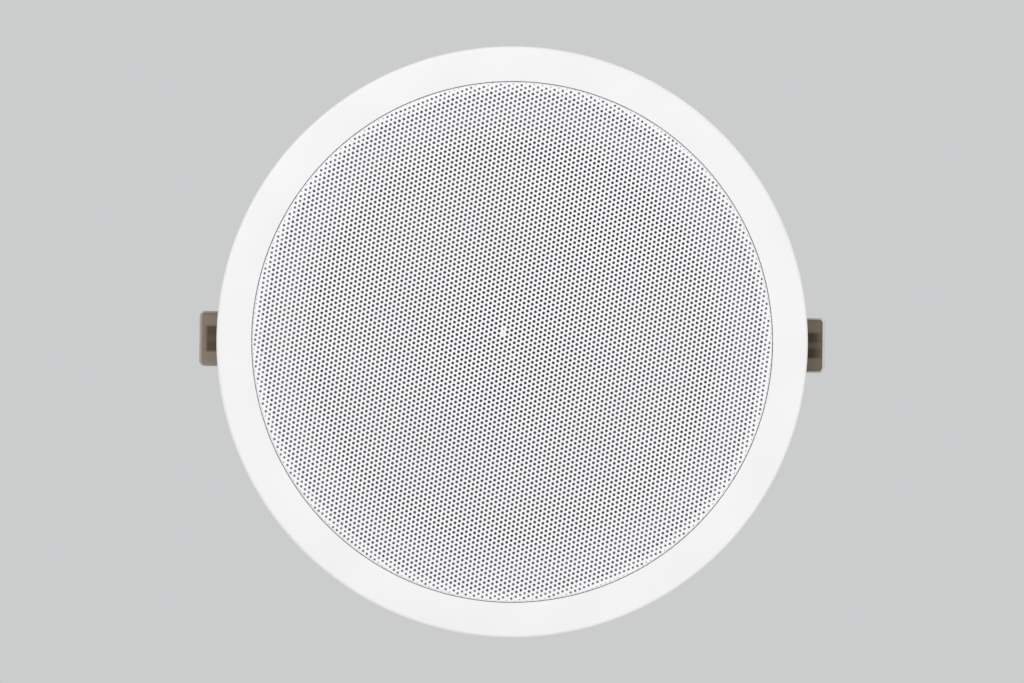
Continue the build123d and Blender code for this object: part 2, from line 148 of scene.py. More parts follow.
class ClipSizes(bpy.types.PropertyGroup):
    """Sizes of the sprung clips."""

    wire: FloatProperty(name="Wire", description="Wire thickness", default=1.9 * MM, unit="LENGTH")
    turns: FloatProperty(name="Turns", description="Turns of each coil", default=2.25)
    coil: FloatProperty(name="Coil", description="Pin axis to wire", default=3.9 * MM, unit="LENGTH")
    arm: FloatProperty(
        name="Arm", description="Each arm from the middle", default=3.8 * MM, unit="LENGTH"
    )
    tail: FloatProperty(
        name="Tail", description="Each upright end from the middle", default=8.525 * MM, unit="LENGTH"
    )
    rim: FloatProperty(name="Rim", description="Rim of the sleeve", default=1.15 * MM, unit="LENGTH")
    corner: FloatProperty(
        name="Corner", description="Outer corners of the sleeve", default=2.3 * MM, unit="LENGTH"
    )


class FinishColours(bpy.types.PropertyGroup):
    """Colours of the main finishes."""

    moulding: FloatVectorProperty(
        name="Moulding", description="Ring", default=(0.86, 0.858, 0.856), subtype="COLOR", size=3
    )
    enamel: FloatVectorProperty(
        name="Enamel", description="Grille", default=(0.9, 0.889, 0.908), subtype="COLOR", size=3
    )
    sleeve: FloatVectorProperty(
        name="Sleeve", description="Soft sleeves", default=(0.195, 0.158, 0.117), subtype="COLOR", size=3
    )
    # Pale rim of the sleeves: partly the thinner translucent edge, partly a painted highlight
    sleeve_rim_and_highlight: FloatVectorProperty(
        name="Sleeve rim", description="Rim of the sleeves", subtype="COLOR", size=3,
        default=(0.52, 0.49, 0.46),
    )
    backdrop: FloatVectorProperty(
        name="Backdrop", description="What the camera sees behind", subtype="COLOR", size=3,
        default=(0.6, 0.605, 0.61),
    )


class StudioSettings(bpy.types.PropertyGroup):
    """Camera and light."""

    distance: FloatProperty(name="Distance", description="Camera to ring", default=1.5, unit="LENGTH")
    roll: FloatProperty(
        name="Roll", description="Camera roll", default=math.radians(0.67), subtype="ANGLE"
    )
    aim: FloatVectorProperty(
        name="Aim", description="Camera off the axis, right and up", size=2, unit="LENGTH",
        default=(-0.06 * MM, 0.19 * MM),
    )
    ambient: FloatProperty(name="Ambient", description="Light from all round", default=0.66)
    floor: FloatProperty(name="Floor", description="Height of the floor", default=-2.2, unit="LENGTH")


def maths(operation):
    """A method that adds one Math node, with its own wire first."""
    return lambda wire, *others: wire.math(operation, wire, *others)


def reflected(operation):
    """The same with its own wire last, for a number on the left of an operator."""
    return lambda wire, other: wire.math(operation, other, wire)


class Wire:
    """A socket in Python expressions: each operator adds one Math node."""

    def __init__(self, tree, socket):
        self.tree = tree
        self.socket = socket

    def out(self, name):
        """Another output of the same node."""
        return Wire(self.tree, self.socket.node.outputs[name])

    def math(self, operation, *values):
        return self.tree.add("ShaderNodeMath", {"operation": operation}, dict(enumerate(values)))

    __add__, __radd__ = maths("ADD"), reflected("ADD")
    __sub__, __rsub__ = maths("SUBTRACT"), reflected("SUBTRACT")
    __mul__, __rmul__ = maths("MULTIPLY"), reflected("MULTIPLY")
    __truediv__, __rtruediv__ = maths("DIVIDE"), reflected("DIVIDE")
    __mod__, __pow__, __abs__ = maths("MODULO"), maths("POWER"), maths("ABSOLUTE")
    __gt__, __lt__ = maths("GREATER_THAN"), maths("LESS_THAN")
    lower, higher = maths("MINIMUM"), maths("MAXIMUM")
    cos, sin, whole = maths("COSINE"), maths("SINE"), maths("ROUND")


class Tree:
    """Adds nodes to a node tree."""

    def __init__(self, tree):
        self.nodes = tree.nodes
        self.links = tree.links

    def add(self, kind, settings=None, values=None, output=0):
        """A node of this kind, with its settings made first and its sockets set or linked."""
        node = self.nodes.new(kind)
        for key, value in (settings or {}).items():
            setattr(node, key, value)
        for key, value in (values or {}).items():
            for one in value if isinstance(value, list) else [value]:
                if isinstance(one, Wire):
                    self.links.new(one.socket, node.inputs[key])
                else:
                    node.inputs[key].default_value = one
        return Wire(self, node.outputs[output]) if node.outputs else None

    def xyz(self, vector):
        split = self.add("ShaderNodeSeparateXYZ", {}, {0: vector})
        return split.out("X"), split.out("Y"), split.out("Z")

    def from_axis(self, vector):
        """Distance from the speaker's axis."""
        x, y, z = self.xyz(vector)
        return (x * x + y * y) ** 0.5

    def vector(self, x=0.0, y=0.0, z=0.0):
        return self.add("ShaderNodeCombineXYZ", {}, {"X": x, "Y": y, "Z": z})

    def mix(self, share, first, second):
        return self.add("ShaderNodeMix", {"data_type": "RGBA"}, {0: share, 6: first, 7: second}, 2)

    def shades(self, share, colour, first, second):
        """A mix of one colour times two factors."""
        return self.mix(share, rgba(colour, first), rgba(colour, second))

    def noise(self, place, size, detail=2.0, rough=0.5):
        """Noise with features of about this size in metres."""
        values = {"Vector": place, "Scale": 1.0 / size, "Detail": detail, "Roughness": rough}
        return self.add("ShaderNodeTexNoise", {}, values)

    def ramp(self, value, low, high):
        """0 below low and 1 above high, smooth between."""
        settings = {"interpolation_type": "SMOOTHSTEP"}
        return self.add("ShaderNodeMapRange", settings, {"Value": value, "From Min": low, "From Max": high})

    def bump(self, height, deep, strength=0.5):
        return self.add("ShaderNodeBump", {}, {"Strength": strength, "Distance": deep, "Height": height})


def rgba(colour, times=1.0):
    """A colour as a socket wants it, lighter or darker by a factor."""
    return (*[min(1.0, c * times) for c in colour], 1.0)


def surface(tone, rough, bump):
    """What most finishes change over a surface, by the shader's sockets."""
    return {"Base Color": tone, "Roughness": rough, "Normal": bump}


def finish(name, colour, rough, paint, constants=None):
    """A material on one Principled shader: constants on its own sockets, and what paint adds on links."""
    material = bpy.data.materials.new(name)
    material.use_nodes = True
    material.diffuse_color = rgba(colour)
    tree = Tree(material.node_tree)
    shader = next(n for n in tree.nodes if n.type == "BSDF_PRINCIPLED")
    settled = {"Base Color": rgba(colour), "Roughness": rough, **(constants or {})}
    for key, value in settled.items():
        shader.inputs[key].default_value = value
    place = tree.add("ShaderNodeTexCoord", {}, {}, "Object")
    for key, wire in paint(tree, place).items():
        tree.links.new(wire.socket, shader.inputs[key])
    return material


def moulded_white(colour):
    """Fine satin moulding: a spark-eroded grain, slightly uneven gloss and faint cloudiness."""

    def paint(tree, place):
        grain = tree.noise(place, 0.35 * MM, 3.0, 0.6)
        cloud = tree.ramp(tree.noise(place, 38 * MM), 0.35, 0.65)
        tone = tree.shades(cloud, colour, 0.985, 1.01)
        return surface(tone, 0.4 + 0.12 * grain, tree.bump(grain, 0.012 * MM, 0.6))

    return finish("moulded_white", colour, 0.45, paint, {"Specular IOR Level": 0.45})


def white_enamel(colour):
    """Stoved enamel on perforated steel, a little thicker here and there."""

    def paint(tree, place):
        peel = tree.noise(place, 0.9 * MM)
        cloud = tree.ramp(tree.noise(place, 30 * MM), 0.3, 0.7)
        tone = tree.shades(cloud, colour, 0.985, 1.01)
        return surface(tone, 0.36 + 0.16 * peel, tree.bump(peel, 0.02 * MM))

    return finish("white_enamel", colour, 0.42, paint)


def black_enamel(bare_from):
    """Black enamel with a dusty bloom here and there, and bare grey metal from this radius outwards."""
    colour, metal = (0.034, 0.033, 0.035), (0.46, 0.45, 0.465)

    def paint(tree, place):
        peel = tree.noise(place, 0.8 * MM)
        cloud = tree.noise(place, 22 * MM, 3.0)
        bloom = tree.ramp(cloud, 0.45, 0.75) * 0.5
        bare = tree.ramp(tree.from_axis(place), bare_from, bare_from + 0.5 * MM)
        tone = tree.mix(bare, tree.shades(bloom, colour, 1.0, 1.8), rgba(metal))
        return surface(tone, 0.34 + 0.2 * cloud, tree.bump(peel + cloud, 0.03 * MM))

    return finish("black_enamel", colour, 0.4, paint)


def zinc_plate(name, on_lathe):
    """Bright zinc plating: cloudy tone, with rings of tool marks where the piece was turned on a lathe."""
    colour = (0.5, 0.505, 0.51)

    def paint(tree, place):
        cloud = tree.noise(place, 9 * MM, 3.0)
        if on_lathe:
            x, y, z = tree.xyz(place)
            marks = tree.noise(tree.vector(tree.from_axis(place), z * 0.2), 0.7 * MM, 3.0, 0.7)
        else:
            marks = tree.noise(place, 0.5 * MM)
        share = 0.5 * tree.ramp(cloud, 0.3, 0.7) + 0.5 * tree.ramp(marks, 0.35, 0.65)
        rough = 0.34 + 0.08 * cloud + 0.1 * marks
        return surface(tree.shades(share, colour, 0.9, 1.1), rough, tree.bump(marks, 0.02 * MM, 0.6))

    return finish(name, colour, 0.42, paint, {"Metallic": 1.0})


def ferrite():
    """Ground ferrite: near black, with a fine speckle, grinding scratches and paler rubbed edges."""
    colour, rubbed = (0.05, 0.05, 0.053), (0.16, 0.16, 0.165)
    outer, middle = MAGNET_HIGH.x, (MAGNET_LOW.z + MAGNET_HIGH.z) / 2
    half = MAGNET_HIGH.z - middle

    def paint(tree, place):
        x, y, z = tree.xyz(place)
        speck = tree.noise(place, 0.6 * MM, 3.0, 0.7)
        scratch = tree.noise(tree.vector(x * 0.05, y * 6.0, z), 1.5 * MM)
        edge = tree.ramp(tree.from_axis(place), outer - 0.9 * MM, outer - 0.2 * MM)
        level = tree.ramp(abs(z - middle), half - 1.1 * MM, half - 0.1 * MM)
        tone = tree.shades(tree.ramp(speck, 0.35, 0.7), colour, 0.7, 1.7)
        tone = tree.mix(edge * level * 0.5 * speck, tone, rgba(rubbed))
        return surface(tone, 0.5 + 0.25 * speck, tree.bump(scratch + speck, 0.03 * MM))

    return finish("ground_ferrite", colour, 0.6, paint)


def woven(name, colour, pitch, bump):
    """Treated cloth: a plain weave with its threads along X and Y, and a little fuzz."""

    def paint(tree, place):
        x, y, z = tree.xyz(place)
        across = (x * (math.tau / pitch)).sin()
        along = (y * (math.tau / pitch)).sin()
        weave = 0.5 + 0.25 * across + 0.25 * along
        fuzz = tree.noise(place, 1.2 * MM, 3.0)
        tone = tree.shades(weave * 0.6 + fuzz * 0.4, colour, 0.6, 1.4)
        return surface(tone, 0.7 + 0.2 * fuzz, tree.bump(weave + 0.3 * fuzz, bump, 0.7))

    return finish(name, colour, 0.8, paint, {"Specular IOR Level": 0.3})


def felted_paper():
    """Pressed paper pulp: short fibres, darker where it is dense, with painted light making it paler towards
    its outer edge.
    """
    colour = (0.066, 0.0635, 0.068)

    def paint(tree, place):
        painted_light_outwards = tree.ramp(tree.from_axis(place), 12 * MM, 82 * MM)
        fibre = tree.noise(place, 1.4 * MM, 4.0, 0.7)
        fine = tree.noise(place, 0.4 * MM, 3.0, 0.6)
        tone = tree.shades(tree.ramp(fibre * 0.6 + fine * 0.4, 0.3, 0.7), colour, 0.6, 1.6)
        # Painted light: paler towards the outer edge, on both faces alike
        tone = tree.mix(painted_light_outwards * 0.6, tone, rgba(colour, 3.3))
        return surface(tone, 0.75 + 0.15 * fine, tree.bump(fibre + fine, 0.1 * MM, 0.6))

    return finish("felted_paper", colour, 0.85, paint, {"Specular IOR Level": 0.25})


def coil_winding(wound_from):
    """A kraft former, with enamelled copper wound on it from this height upwards."""
    colour, wire = (0.5, 0.22, 0.08), 0.3 * MM

    def paint(tree, place):
        x, y, z = tree.xyz(place)
        wound = z > wound_from
        turns = (z * (math.tau / wire)).sin() * 0.5 + 0.5
        fibre = tree.noise(place, 0.8 * MM, 3.0)
        kraft = tree.mix(fibre, (0.3, 0.2, 0.11, 1), (0.42, 0.3, 0.18, 1))
        copper = tree.mix(turns, (0.28, 0.1, 0.035, 1), (0.62, 0.28, 0.11, 1))
        return {
            "Base Color": tree.mix(wound, kraft, copper),
            "Metallic": wound * 0.8,
            "Normal": tree.bump(turns * wound, 0.06 * MM, 0.6),
        }

    return finish("coil_winding", colour, 0.4, paint)


def laminate():
    """Brown laminate with faint streaks of its paper."""
    colour = (0.2, 0.085, 0.035)

    def paint(tree, place):
        x, y, z = tree.xyz(place)
        streak = tree.noise(tree.vector(x * 0.25, y, z), 0.9 * MM, 3.0)
        tone = tree.shades(streak, colour, 0.7, 1.4)
        return surface(tone, 0.35 + 0.25 * streak, tree.bump(streak, 0.02 * MM))

    return finish("brown_laminate", colour, 0.45, paint)


def plated(name, dark, bright, rough):
    """A small bright metal piece with a slightly uneven, handled surface."""

    def paint(tree, place):
        cloud = tree.noise(place, 2.2 * MM, 3.0)
        fine = tree.noise(place, 0.3 * MM)
        tone = tree.mix(cloud, rgba(dark), rgba(bright))
        return surface(tone, rough + 0.2 * cloud, tree.bump(fine, 0.01 * MM))

    return finish(name, bright, rough, paint, {"Metallic": 1.0})


def block_plastic():
    """Pale moulded plastic of the terminal block, a little waxy."""
    colour = (0.74, 0.73, 0.68)

    def paint(tree, place):
        grain = tree.noise(place, 0.5 * MM)
        cloud = tree.noise(place, 7 * MM)
        tone = tree.shades(cloud, colour, 0.94, 1.04)
        return surface(tone, 0.34 + 0.14 * grain, tree.bump(grain, 0.015 * MM))

    return finish("block_plastic", colour, 0.4, paint)


def soft_sleeve(colour, rim, corner):
    """Soft translucent sleeve: darker where the hairpin sits inside it, partly painted shade, and paler along
    its rim, partly a painted highlight; one pad has painted light, the other painted shade.
    """
    far, wide, middle = SLEEVE_HIGH.x, SLEEVE_HIGH.y, (SLEEVE_LOW.z + SLEEVE_HIGH.z) / 2
    # The hairpin's colour through the sleeve: a lit copy for one pad and a shaded copy for the other, painted
    # light and shade
    wire_on_lit_pad, wire_on_shaded_pad = (0.086, 0.055, 0.024), (0.034, 0.019, 0.007)

    def paint(tree, place):
        x, y, z = tree.xyz(place)
        out, across = abs(x), abs(y)
        cloud = tree.noise(place, 3.0 * MM, 3.0)
        # Painted light and shade: one pad lighter and the other darker, as light falls from one side, with a
        # little random mottle
        side_shade_and_mottle = tree.ramp(x, -1 * MM, 1 * MM) + 0.3 * (cloud - 0.5)
        # The hairpin showing dark through the sleeve, with painted shade over it, and a paler stretch between
        # its arms; how far and how softly it fades follows the painted side shade
        core_y = 1.0 - tree.ramp(across, 4.7 * MM, 6.1 * MM)
        shallow = tree.ramp(out, far - 3.8 * MM, far - 1.9 * MM)
        deep = tree.ramp(out, far - 6.2 * MM, far + 1.4 * MM)
        core_x = 1.0 - shallow - side_shade_and_mottle * (deep - shallow)
        between_arms = 1.0 - tree.ramp(across, 0.7 * MM, 1.8 * MM)
        core = core_x * core_y * (1.0 - (0.12 + 0.3 * side_shade_and_mottle) * between_arms)
        # Distance in from the rounded outline, for the bead along it, where a painted highlight lies
        corner_x = (out - (far - corner)).higher(0.0)
        corner_y = (across - (wide - corner)).higher(0.0)
        inset = corner - (corner_x * corner_x + corner_y * corner_y) ** 0.5
        face = tree.ramp(abs(z - middle), 1.5 * MM, 2.2 * MM)
        tip = tree.ramp(out, far - 2.0 * MM, far - 1.0 * MM)
        lip = 1.0 - tree.ramp(inset / (0.66 + (0.6 - 0.16 * side_shade_and_mottle) * tip), 0.75 * MM, 1.2 * MM)
        bead = lip * (0.15 + 0.85 * face) * (0.7 + 0.3 * tip)
        # Lit and shaded copies of the sleeve's colour, one for each pad: painted light and shade
        tone = tree.shades(side_shade_and_mottle, colour, 1.26, 0.8)
        tone = tree.mix(core, tone, tree.mix(side_shade_and_mottle, rgba(wire_on_lit_pad), rgba(wire_on_shaded_pad)))
        # The pale rim: partly the thin translucent edge, partly a painted highlight on the bead, strongest at
        # the tip and on the faces, brighter on one pad than the other
        tone = tree.mix(bead, tone, tree.shades(side_shade_and_mottle, rim, 0.7, 1.2))
        return surface(tone, 0.3 + 0.2 * cloud, tree.bump(cloud, 0.05 * MM, 0.4))

    return finish("soft_sleeve", colour, 0.4, paint, {"Alpha": 0.94, "Specular IOR Level": 0.35})


def rounded(corners, steps=4):
    """A closed outline from (across, up, rounding) corners, each worked as an arc."""
    nearly_straight, most_of_side = 1.55, 0.48
    outline = []
    for n, (px, py, radius) in enumerate(corners):
        here = Vector((px, py))
        before = Vector(corners[n - 1][:2]) - here
        after = Vector(corners[(n + 1) % len(corners)][:2]) - here
        half = before.angle(after) / 2
        if radius <= 0 or half > nearly_straight:
            outline.append((px, py))
            continue
        room = most_of_side * min(before.length, after.length)
        back = min(radius / math.tan(half), room)
        inwards = (before.normalized() + after.normalized()).normalized()
        middle = here + inwards * (back / math.cos(half))
        first = here + before.normalized() * back - middle
        last = here + after.normalized() * back - middle
        swing = first.angle_signed(last)
        for step in range(steps + 1):
            arm = first.copy()
            arm.rotate(Matrix.Rotation(-swing * step / steps, 2))
            outline.append(tuple(middle + arm))
    return outline


def walled(front, thick):
    """A closed outline from a line of (radius, height) points and a thickness along +Z."""
    return front + [(r, z + thick) for r, z in reversed(front)]


def lathe(outline, turns=192, closed=True):
    """An outline of (radius, height) carried round the speaker's axis; if closed, its ends are joined."""
    radius, height = np.array(outline).T
    angle = np.arange(turns)[:, None] * (math.tau / turns)
    verts = np.stack(np.broadcast_arrays(np.cos(angle) * radius, np.sin(angle) * radius, height), 2)
    count = len(outline)
    faces = []
    for n in range(turns):
        here, there = n * count, (n + 1) % turns * count
        for k in range(count if closed else count - 1):
            nxt = (k + 1) % count
            faces.append((here + k, there + k, there + nxt, here + nxt))
    return verts.reshape(-1, 3).tolist(), faces


def loft(loops, closed_ends=True):
    """Loops of points, all of one length, joined in order and capped."""
    count, last = len(loops[0]), len(loops) - 1
    verts = [tuple(p) for loop in loops for p in loop]
    faces = []
    for here in range(0, last * count, count):
        for n in range(count):
            nxt = (n + 1) % count
            faces.append((here + n, here + nxt, here + count + nxt, here + count + n))
    if closed_ends:
        faces.append(tuple(range(count - 1, -1, -1)))
        faces.append(tuple(range(last * count, (last + 1) * count)))
    return verts, faces


def slab(outline, low, high):
    """A flat outline of (x, z) given thickness along y."""
    return loft([[(x, y, z) for x, z in outline] for y in (low, high)])


def tube(path, radius, sides=14):
    """A round wire along a path, with closed ends."""
    points = [Vector(p) for p in path]
    angles = [math.tau * k / sides for k in range(sides)]
    normal = (points[1] - points[0]).orthogonal()
    loops = []
    for n, point in enumerate(points):
        ahead = (points[min(n + 1, len(points) - 1)] - points[max(n - 1, 0)]).normalized()
        normal = (normal - ahead * normal.dot(ahead)).normalized()
        side = ahead.cross(normal)
        loops.append([point + (normal * math.cos(a) + side * math.sin(a)) * radius for a in angles])
    return loft(loops)


def merged(*solids):
    """Several solids as one list of points and faces."""
    verts, faces = [], []
    for some_verts, some_faces in solids:
        start = len(verts)
        verts.extend(some_verts)
        faces.extend(tuple(start + v for v in face) for face in some_faces)
    return verts, faces


def softened(mesh, sharp=35.0):
    """The mesh, smooth but for edges sharper than this many degrees."""
    mesh.shade_smooth()
    mesh.set_sharp_from_angle(angle=math.radians(sharp))
    return mesh


def welded(mesh, near):
    """A working copy of a mesh with its doubled points merged."""
    work = bmesh.new()
    work.from_mesh(mesh)
    bmesh.ops.remove_doubles(work, verts=work.verts, dist=near)
    return work


def put_back(work, mesh):
    """The mesh with a working copy written over it."""
    work.to_mesh(mesh)
    work.free()
    return mesh


def clean_mesh(name, solid, sharp=35.0):
    """A mesh from points and faces: welded, turned outwards, and smooth but for its sharp edges."""
    verts, faces = solid
    mesh = bpy.data.meshes.new(name)
    mesh.from_pydata(verts, [], faces)
    work = welded(mesh, 1e-7)
    bmesh.ops.recalc_face_normals(work, faces=work.faces)
    return softened(put_back(work, mesh), sharp)


def turned(name, corners, steps=4, turns=192):
    """A mesh turned on the speaker's axis from (radius, height, rounding) corners."""
    return clean_mesh(name, lathe(rounded(corners, steps), turns))


def held(mesh):
    """An object in the scene that holds a mesh while a modifier works on it."""
    holder = bpy.data.objects.new("holder", mesh)
    bpy.context.scene.collection.objects.link(holder)
    return holder


def evaluated(holder):
    """A plain mesh from an object with a modifier, which is then removed."""
    graph = bpy.context.evaluated_depsgraph_get()
    ready = holder.evaluated_get(graph)
    made = bpy.data.meshes.new_from_object(ready, preserve_all_data_layers=True, depsgraph=graph)
    bpy.data.objects.remove(holder)
    return made


def with_modifier(mesh, kind, **settings):
    """The mesh after one of Blender's modifiers."""
    holder = held(mesh)
    modifier = holder.modifiers.new(kind.lower(), kind)
    for key, value in settings.items():
        setattr(modifier, key, value)
    return evaluated(holder)


def bevelled(mesh, width):
    """The mesh with its sharp edges rounded."""
    limit = {"limit_method": "ANGLE", "angle_limit": math.radians(40)}
    return softened(with_modifier(mesh, "BEVEL", width=width, segments=2, **limit), 40.0)


def joined(name, *meshes):
    """Several meshes as one."""
    work = bmesh.new()
    for mesh in meshes:
        work.from_mesh(mesh)
    return softened(put_back(work, bpy.data.meshes.new(name)))


def moved(mesh, *steps):
    """The mesh after these turns and shifts, in order."""
    for step in steps:
        mesh.transform(step)
    return mesh


def eased_copy(node, width):
    """A welded copy of a solid with its edges eased."""
    mesh = frame["nodes"][node].data.copy()
    work = welded(mesh, 1e-6)
    bmesh.ops.dissolve_limit(work, angle_limit=0.02, verts=work.verts, edges=work.edges)
    bmesh.ops.connect_verts_concave(work, faces=work.faces)
    return bevelled(put_back(work, mesh), width)


def place_piece(name, mesh, material, body, node):
    """An object at the origin that wears a finish, hides the solid it is made after and may ride on a body.
    """
    mesh.materials.clear()
    mesh.materials.append(material)
    mesh.polygons.foreach_set("material_index", [0] * len(mesh.polygons))
    piece = bpy.data.objects.new(name, mesh)
    bpy.context.scene.collection.objects.link(piece)
    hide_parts(node)
    if body:
        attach(piece, body)
    return piece


FLOAT, WHOLE, VECTOR = "NodeSocketFloat", "NodeSocketInt", "NodeSocketVector"
GEOMETRY, MATERIAL = "NodeSocketGeometry", "NodeSocketMaterial"


def run_group(group, keys, values, mesh):
    """The plain mesh that a geometry tree makes from these inputs and a mesh."""
    holder = held(mesh)
    modifier = holder.modifiers.new("make", "NODES")
    modifier.node_group = group
    for label, value in values.items():
        modifier[keys[label]] = value
    return evaluated(holder)


def node_group(name, inputs):
    """A new geometry tree with these named inputs: the tree, its input wires, and the call that runs it."""
    group = bpy.data.node_groups.new(name, "GeometryNodeTree")
    tree = Tree(group)
    keys = {}
    for label, kind in inputs.items():
        keys[label] = group.interface.new_socket(name=label, in_out="INPUT", socket_type=kind).identifier
    group.interface.new_socket(name="Geometry", in_out="OUTPUT", socket_type=GEOMETRY)
    entry = group.nodes.new("NodeGroupInput")
    given = {label: Wire(tree, entry.outputs[label]) for label in inputs}
    return tree, given, partial(run_group, group, keys)


def close_group(tree, geometry, material):
    """Ends a geometry tree in real faces that wear the material."""
    real = tree.add("GeometryNodeRealizeInstances", {}, {"Geometry": geometry})
    worn = tree.add("GeometryNodeSetMaterial", {}, {"Geometry": real, "Material": material})
    tree.add("NodeGroupOutput", {}, {"Geometry": worn})


def ring_of_copies():
    """Sets copies of a shape out round the speaker's axis, each turned to face outwards."""
    inputs = {"Geometry": GEOMETRY, "Count": WHOLE, "Start": FLOAT, "Material": MATERIAL}
    tree, given, run = node_group("ring_of_copies", inputs)
    points = tree.add("GeometryNodePoints", {}, {"Count": given["Count"]})
    number = tree.add("GeometryNodeInputIndex")
    angle = given["Start"] + number * (math.tau / given["Count"])
    values = {"Points": points, "Instance": given["Geometry"], "Rotation": tree.vector(z=angle)}
    copies = tree.add("GeometryNodeInstanceOnPoints", {}, values)
    close_group(tree, copies, given["Material"])
    return run


def grid_of_copies():
    """Sets copies of a shape out on a small level grid."""
    inputs = {
        "Geometry": GEOMETRY, "Across": WHOLE, "Deep": WHOLE, "Spread X": FLOAT, "Spread Y": FLOAT,
        "Middle": VECTOR, "Material": MATERIAL,
    }
    tree, given, run = node_group("grid_of_copies", inputs)
    values = {
        "Size X": given["Spread X"], "Size Y": given["Spread Y"],
        "Vertices X": given["Across"], "Vertices Y": given["Deep"],
    }
    grid = tree.add("GeometryNodeMeshGrid", {}, values)
    points = tree.add("GeometryNodeSetPosition", {}, {"Geometry": grid, "Offset": given["Middle"]})
    copies = tree.add("GeometryNodeInstanceOnPoints", {}, {"Points": points, "Instance": given["Geometry"]})
    close_group(tree, copies, given["Material"])
    return run


def perforated_sheet():
    """One quarter of a perforated disc: staggered holes, some filled with paint, and a rolled edge."""
    inputs = {
        "Pitch": FLOAT, "Hole": FLOAT, "Border": FLOAT, "Sheet": FLOAT, "Reach": FLOAT, "Flat": FLOAT,
        "Roll": FLOAT, "Front": FLOAT, "Rows Turn": FLOAT, "Quarter Turn": FLOAT, "Rows": WHOLE,
        "Sides": WHOLE, "First Hole": VECTOR, "Material": MATERIAL,
    }
    for number in range(len(PAINTED_HOLES)):
        inputs[f"Painted {number}"] = VECTOR
        inputs[f"Clear {number}"] = FLOAT
    tree, given, run = node_group("perforated_sheet", inputs)
    pitch, rows, turn = given["Pitch"], given["Rows"], given["Rows Turn"]
    flat, roll, row_pitch = given["Flat"], given["Roll"], pitch * ROW_SHARE
    place = tree.add("GeometryNodeInputPosition")
    x, y, z = tree.xyz(place)
    radius = tree.from_axis(place)

    def noted(geometry, name):
        """The geometry, with the place of each point kept under a name."""
        settings = {"data_type": "FLOAT_VECTOR", "domain": "POINT"}
        values = {"Geometry": geometry, "Name": name, "Value": place}
        return tree.add("GeometryNodeStoreNamedAttribute", settings, values)

    # Lattice of hole centres, turned to the direction of the rows
    sizes = {"Size X": (rows - 1) * pitch, "Size Y": (rows - 1) * row_pitch}
    grid = tree.add("GeometryNodeMeshGrid", {}, {**sizes, "Vertices X": rows, "Vertices Y": rows})
    odd = ((y / row_pitch).whole() + rows + 1) % 2
    along = x + odd * pitch / 2
    first_x, first_y, first_z = tree.xyz(given["First Hole"])
    site_x = along * turn.cos() - y * turn.sin() + first_x
    site_y = along * turn.sin() + y * turn.cos() + first_y
    values = {"Geometry": grid, "Position": tree.vector(site_x, site_y)}
    lattice = tree.add("GeometryNodeSetPosition", {}, values)

    # One quarter is kept, out to where the sheet ends
    quarter = given["Quarter Turn"]
    far = radius > given["Reach"]
    left = x * quarter.cos() + y * quarter.sin() < 0.0
    under = y * quarter.cos() - x * quarter.sin() < 0.0
    values = {"Geometry": lattice, "Selection": far.higher(left).higher(under)}
    sites = noted(tree.add("GeometryNodeDeleteGeometry", {"domain": "POINT"}, values), "site")

    # One cell of sheet round each hole
    cell = tree.add("GeometryNodeCurvePrimitiveCircle", {}, {"Resolution": 6, "Radius": pitch / math.sqrt(3)})
    values = {"Geometry": cell, "Rotation": tree.vector(z=turn + math.radians(30))}
    cell = tree.add("GeometryNodeTransform", {}, values)

    def cells_with(width, chosen):
        """Cells with holes of this width at the chosen sites."""
        values = {"Resolution": given["Sides"], "Radius": width / 2}
        hole = tree.add("GeometryNodeCurvePrimitiveCircle", {}, values)
        outline = tree.add("GeometryNodeJoinGeometry", {}, {"Geometry": [cell, hole]})
        filled = tree.add("GeometryNodeFillCurve", {"mode": "TRIANGLES"}, {"Curve": outline})
        values = {"Points": sites, "Selection": chosen, "Instance": filled}
        return tree.add("GeometryNodeInstanceOnPoints", {}, values)

    # Smaller holes where paint has run in, in the bend and in the border next to it
    kinds, clear = [], 1.0
    for number in range(len(PAINTED_HOLES)):
        values = {0: place, 1: given[f"Painted {number}"]}
        here = tree.add("ShaderNodeVectorMath", {"operation": "DISTANCE"}, values, "Value") < pitch * 0.5
        kinds.append(cells_with(given[f"Clear {number}"], here))
        clear = clear * (1.0 - here)
    bend = radius > flat
    border = (radius > flat - given["Border"]) * (1.0 - bend)
    kinds.append(cells_with(given["Hole"] * 0.5, clear * bend))
    kinds.append(cells_with(given["Hole"] * 0.88, clear * border))
    kinds.append(cells_with(given["Hole"], clear * (1.0 - bend - border)))
    cells = tree.add("GeometryNodeJoinGeometry", {}, {"Geometry": kinds})
    cells = tree.add("GeometryNodeRealizeInstances", {}, {"Geometry": cells})
    weld = pitch * 0.01
    cells = tree.add("GeometryNodeMergeByDistance", {}, {"Geometry": cells, "Distance": weld})

    # Thickness, with the front face turned to the room
    values = {"Mesh": cells, "Offset": (0, 0, 1), "Offset Scale": given["Sheet"], "Individual": False}
    back = tree.add("GeometryNodeExtrudeMesh", {"mode": "FACES"}, values)
    front = tree.add("GeometryNodeFlipFaces", {}, {"Mesh": cells})
    sheet = tree.add("GeometryNodeJoinGeometry", {}, {"Geometry": [back, front]})
    sheet = tree.add("GeometryNodeMergeByDistance", {}, {"Geometry": sheet, "Distance": weld})
    sheet = noted(sheet, "flat")

    # Edge rolled back
    past = (radius - flat).higher(0.0)
    bend = (past / roll).lower(math.pi / 2)
    wall = (past - roll * (math.pi / 2)).higher(0.0)
    rolled_r = radius.lower(flat) + (roll - z) * bend.sin()
    rolled_z = roll - (roll - z) * bend.cos() + wall + given["Front"]
    share = rolled_r / radius.higher(1e-6)
    values = {"Geometry": sheet, "Position": tree.vector(x * share, y * share, rolled_z)}
    rolled = tree.add("GeometryNodeSetPosition", {}, values)
    close_group(tree, rolled, given["Material"])
    return run


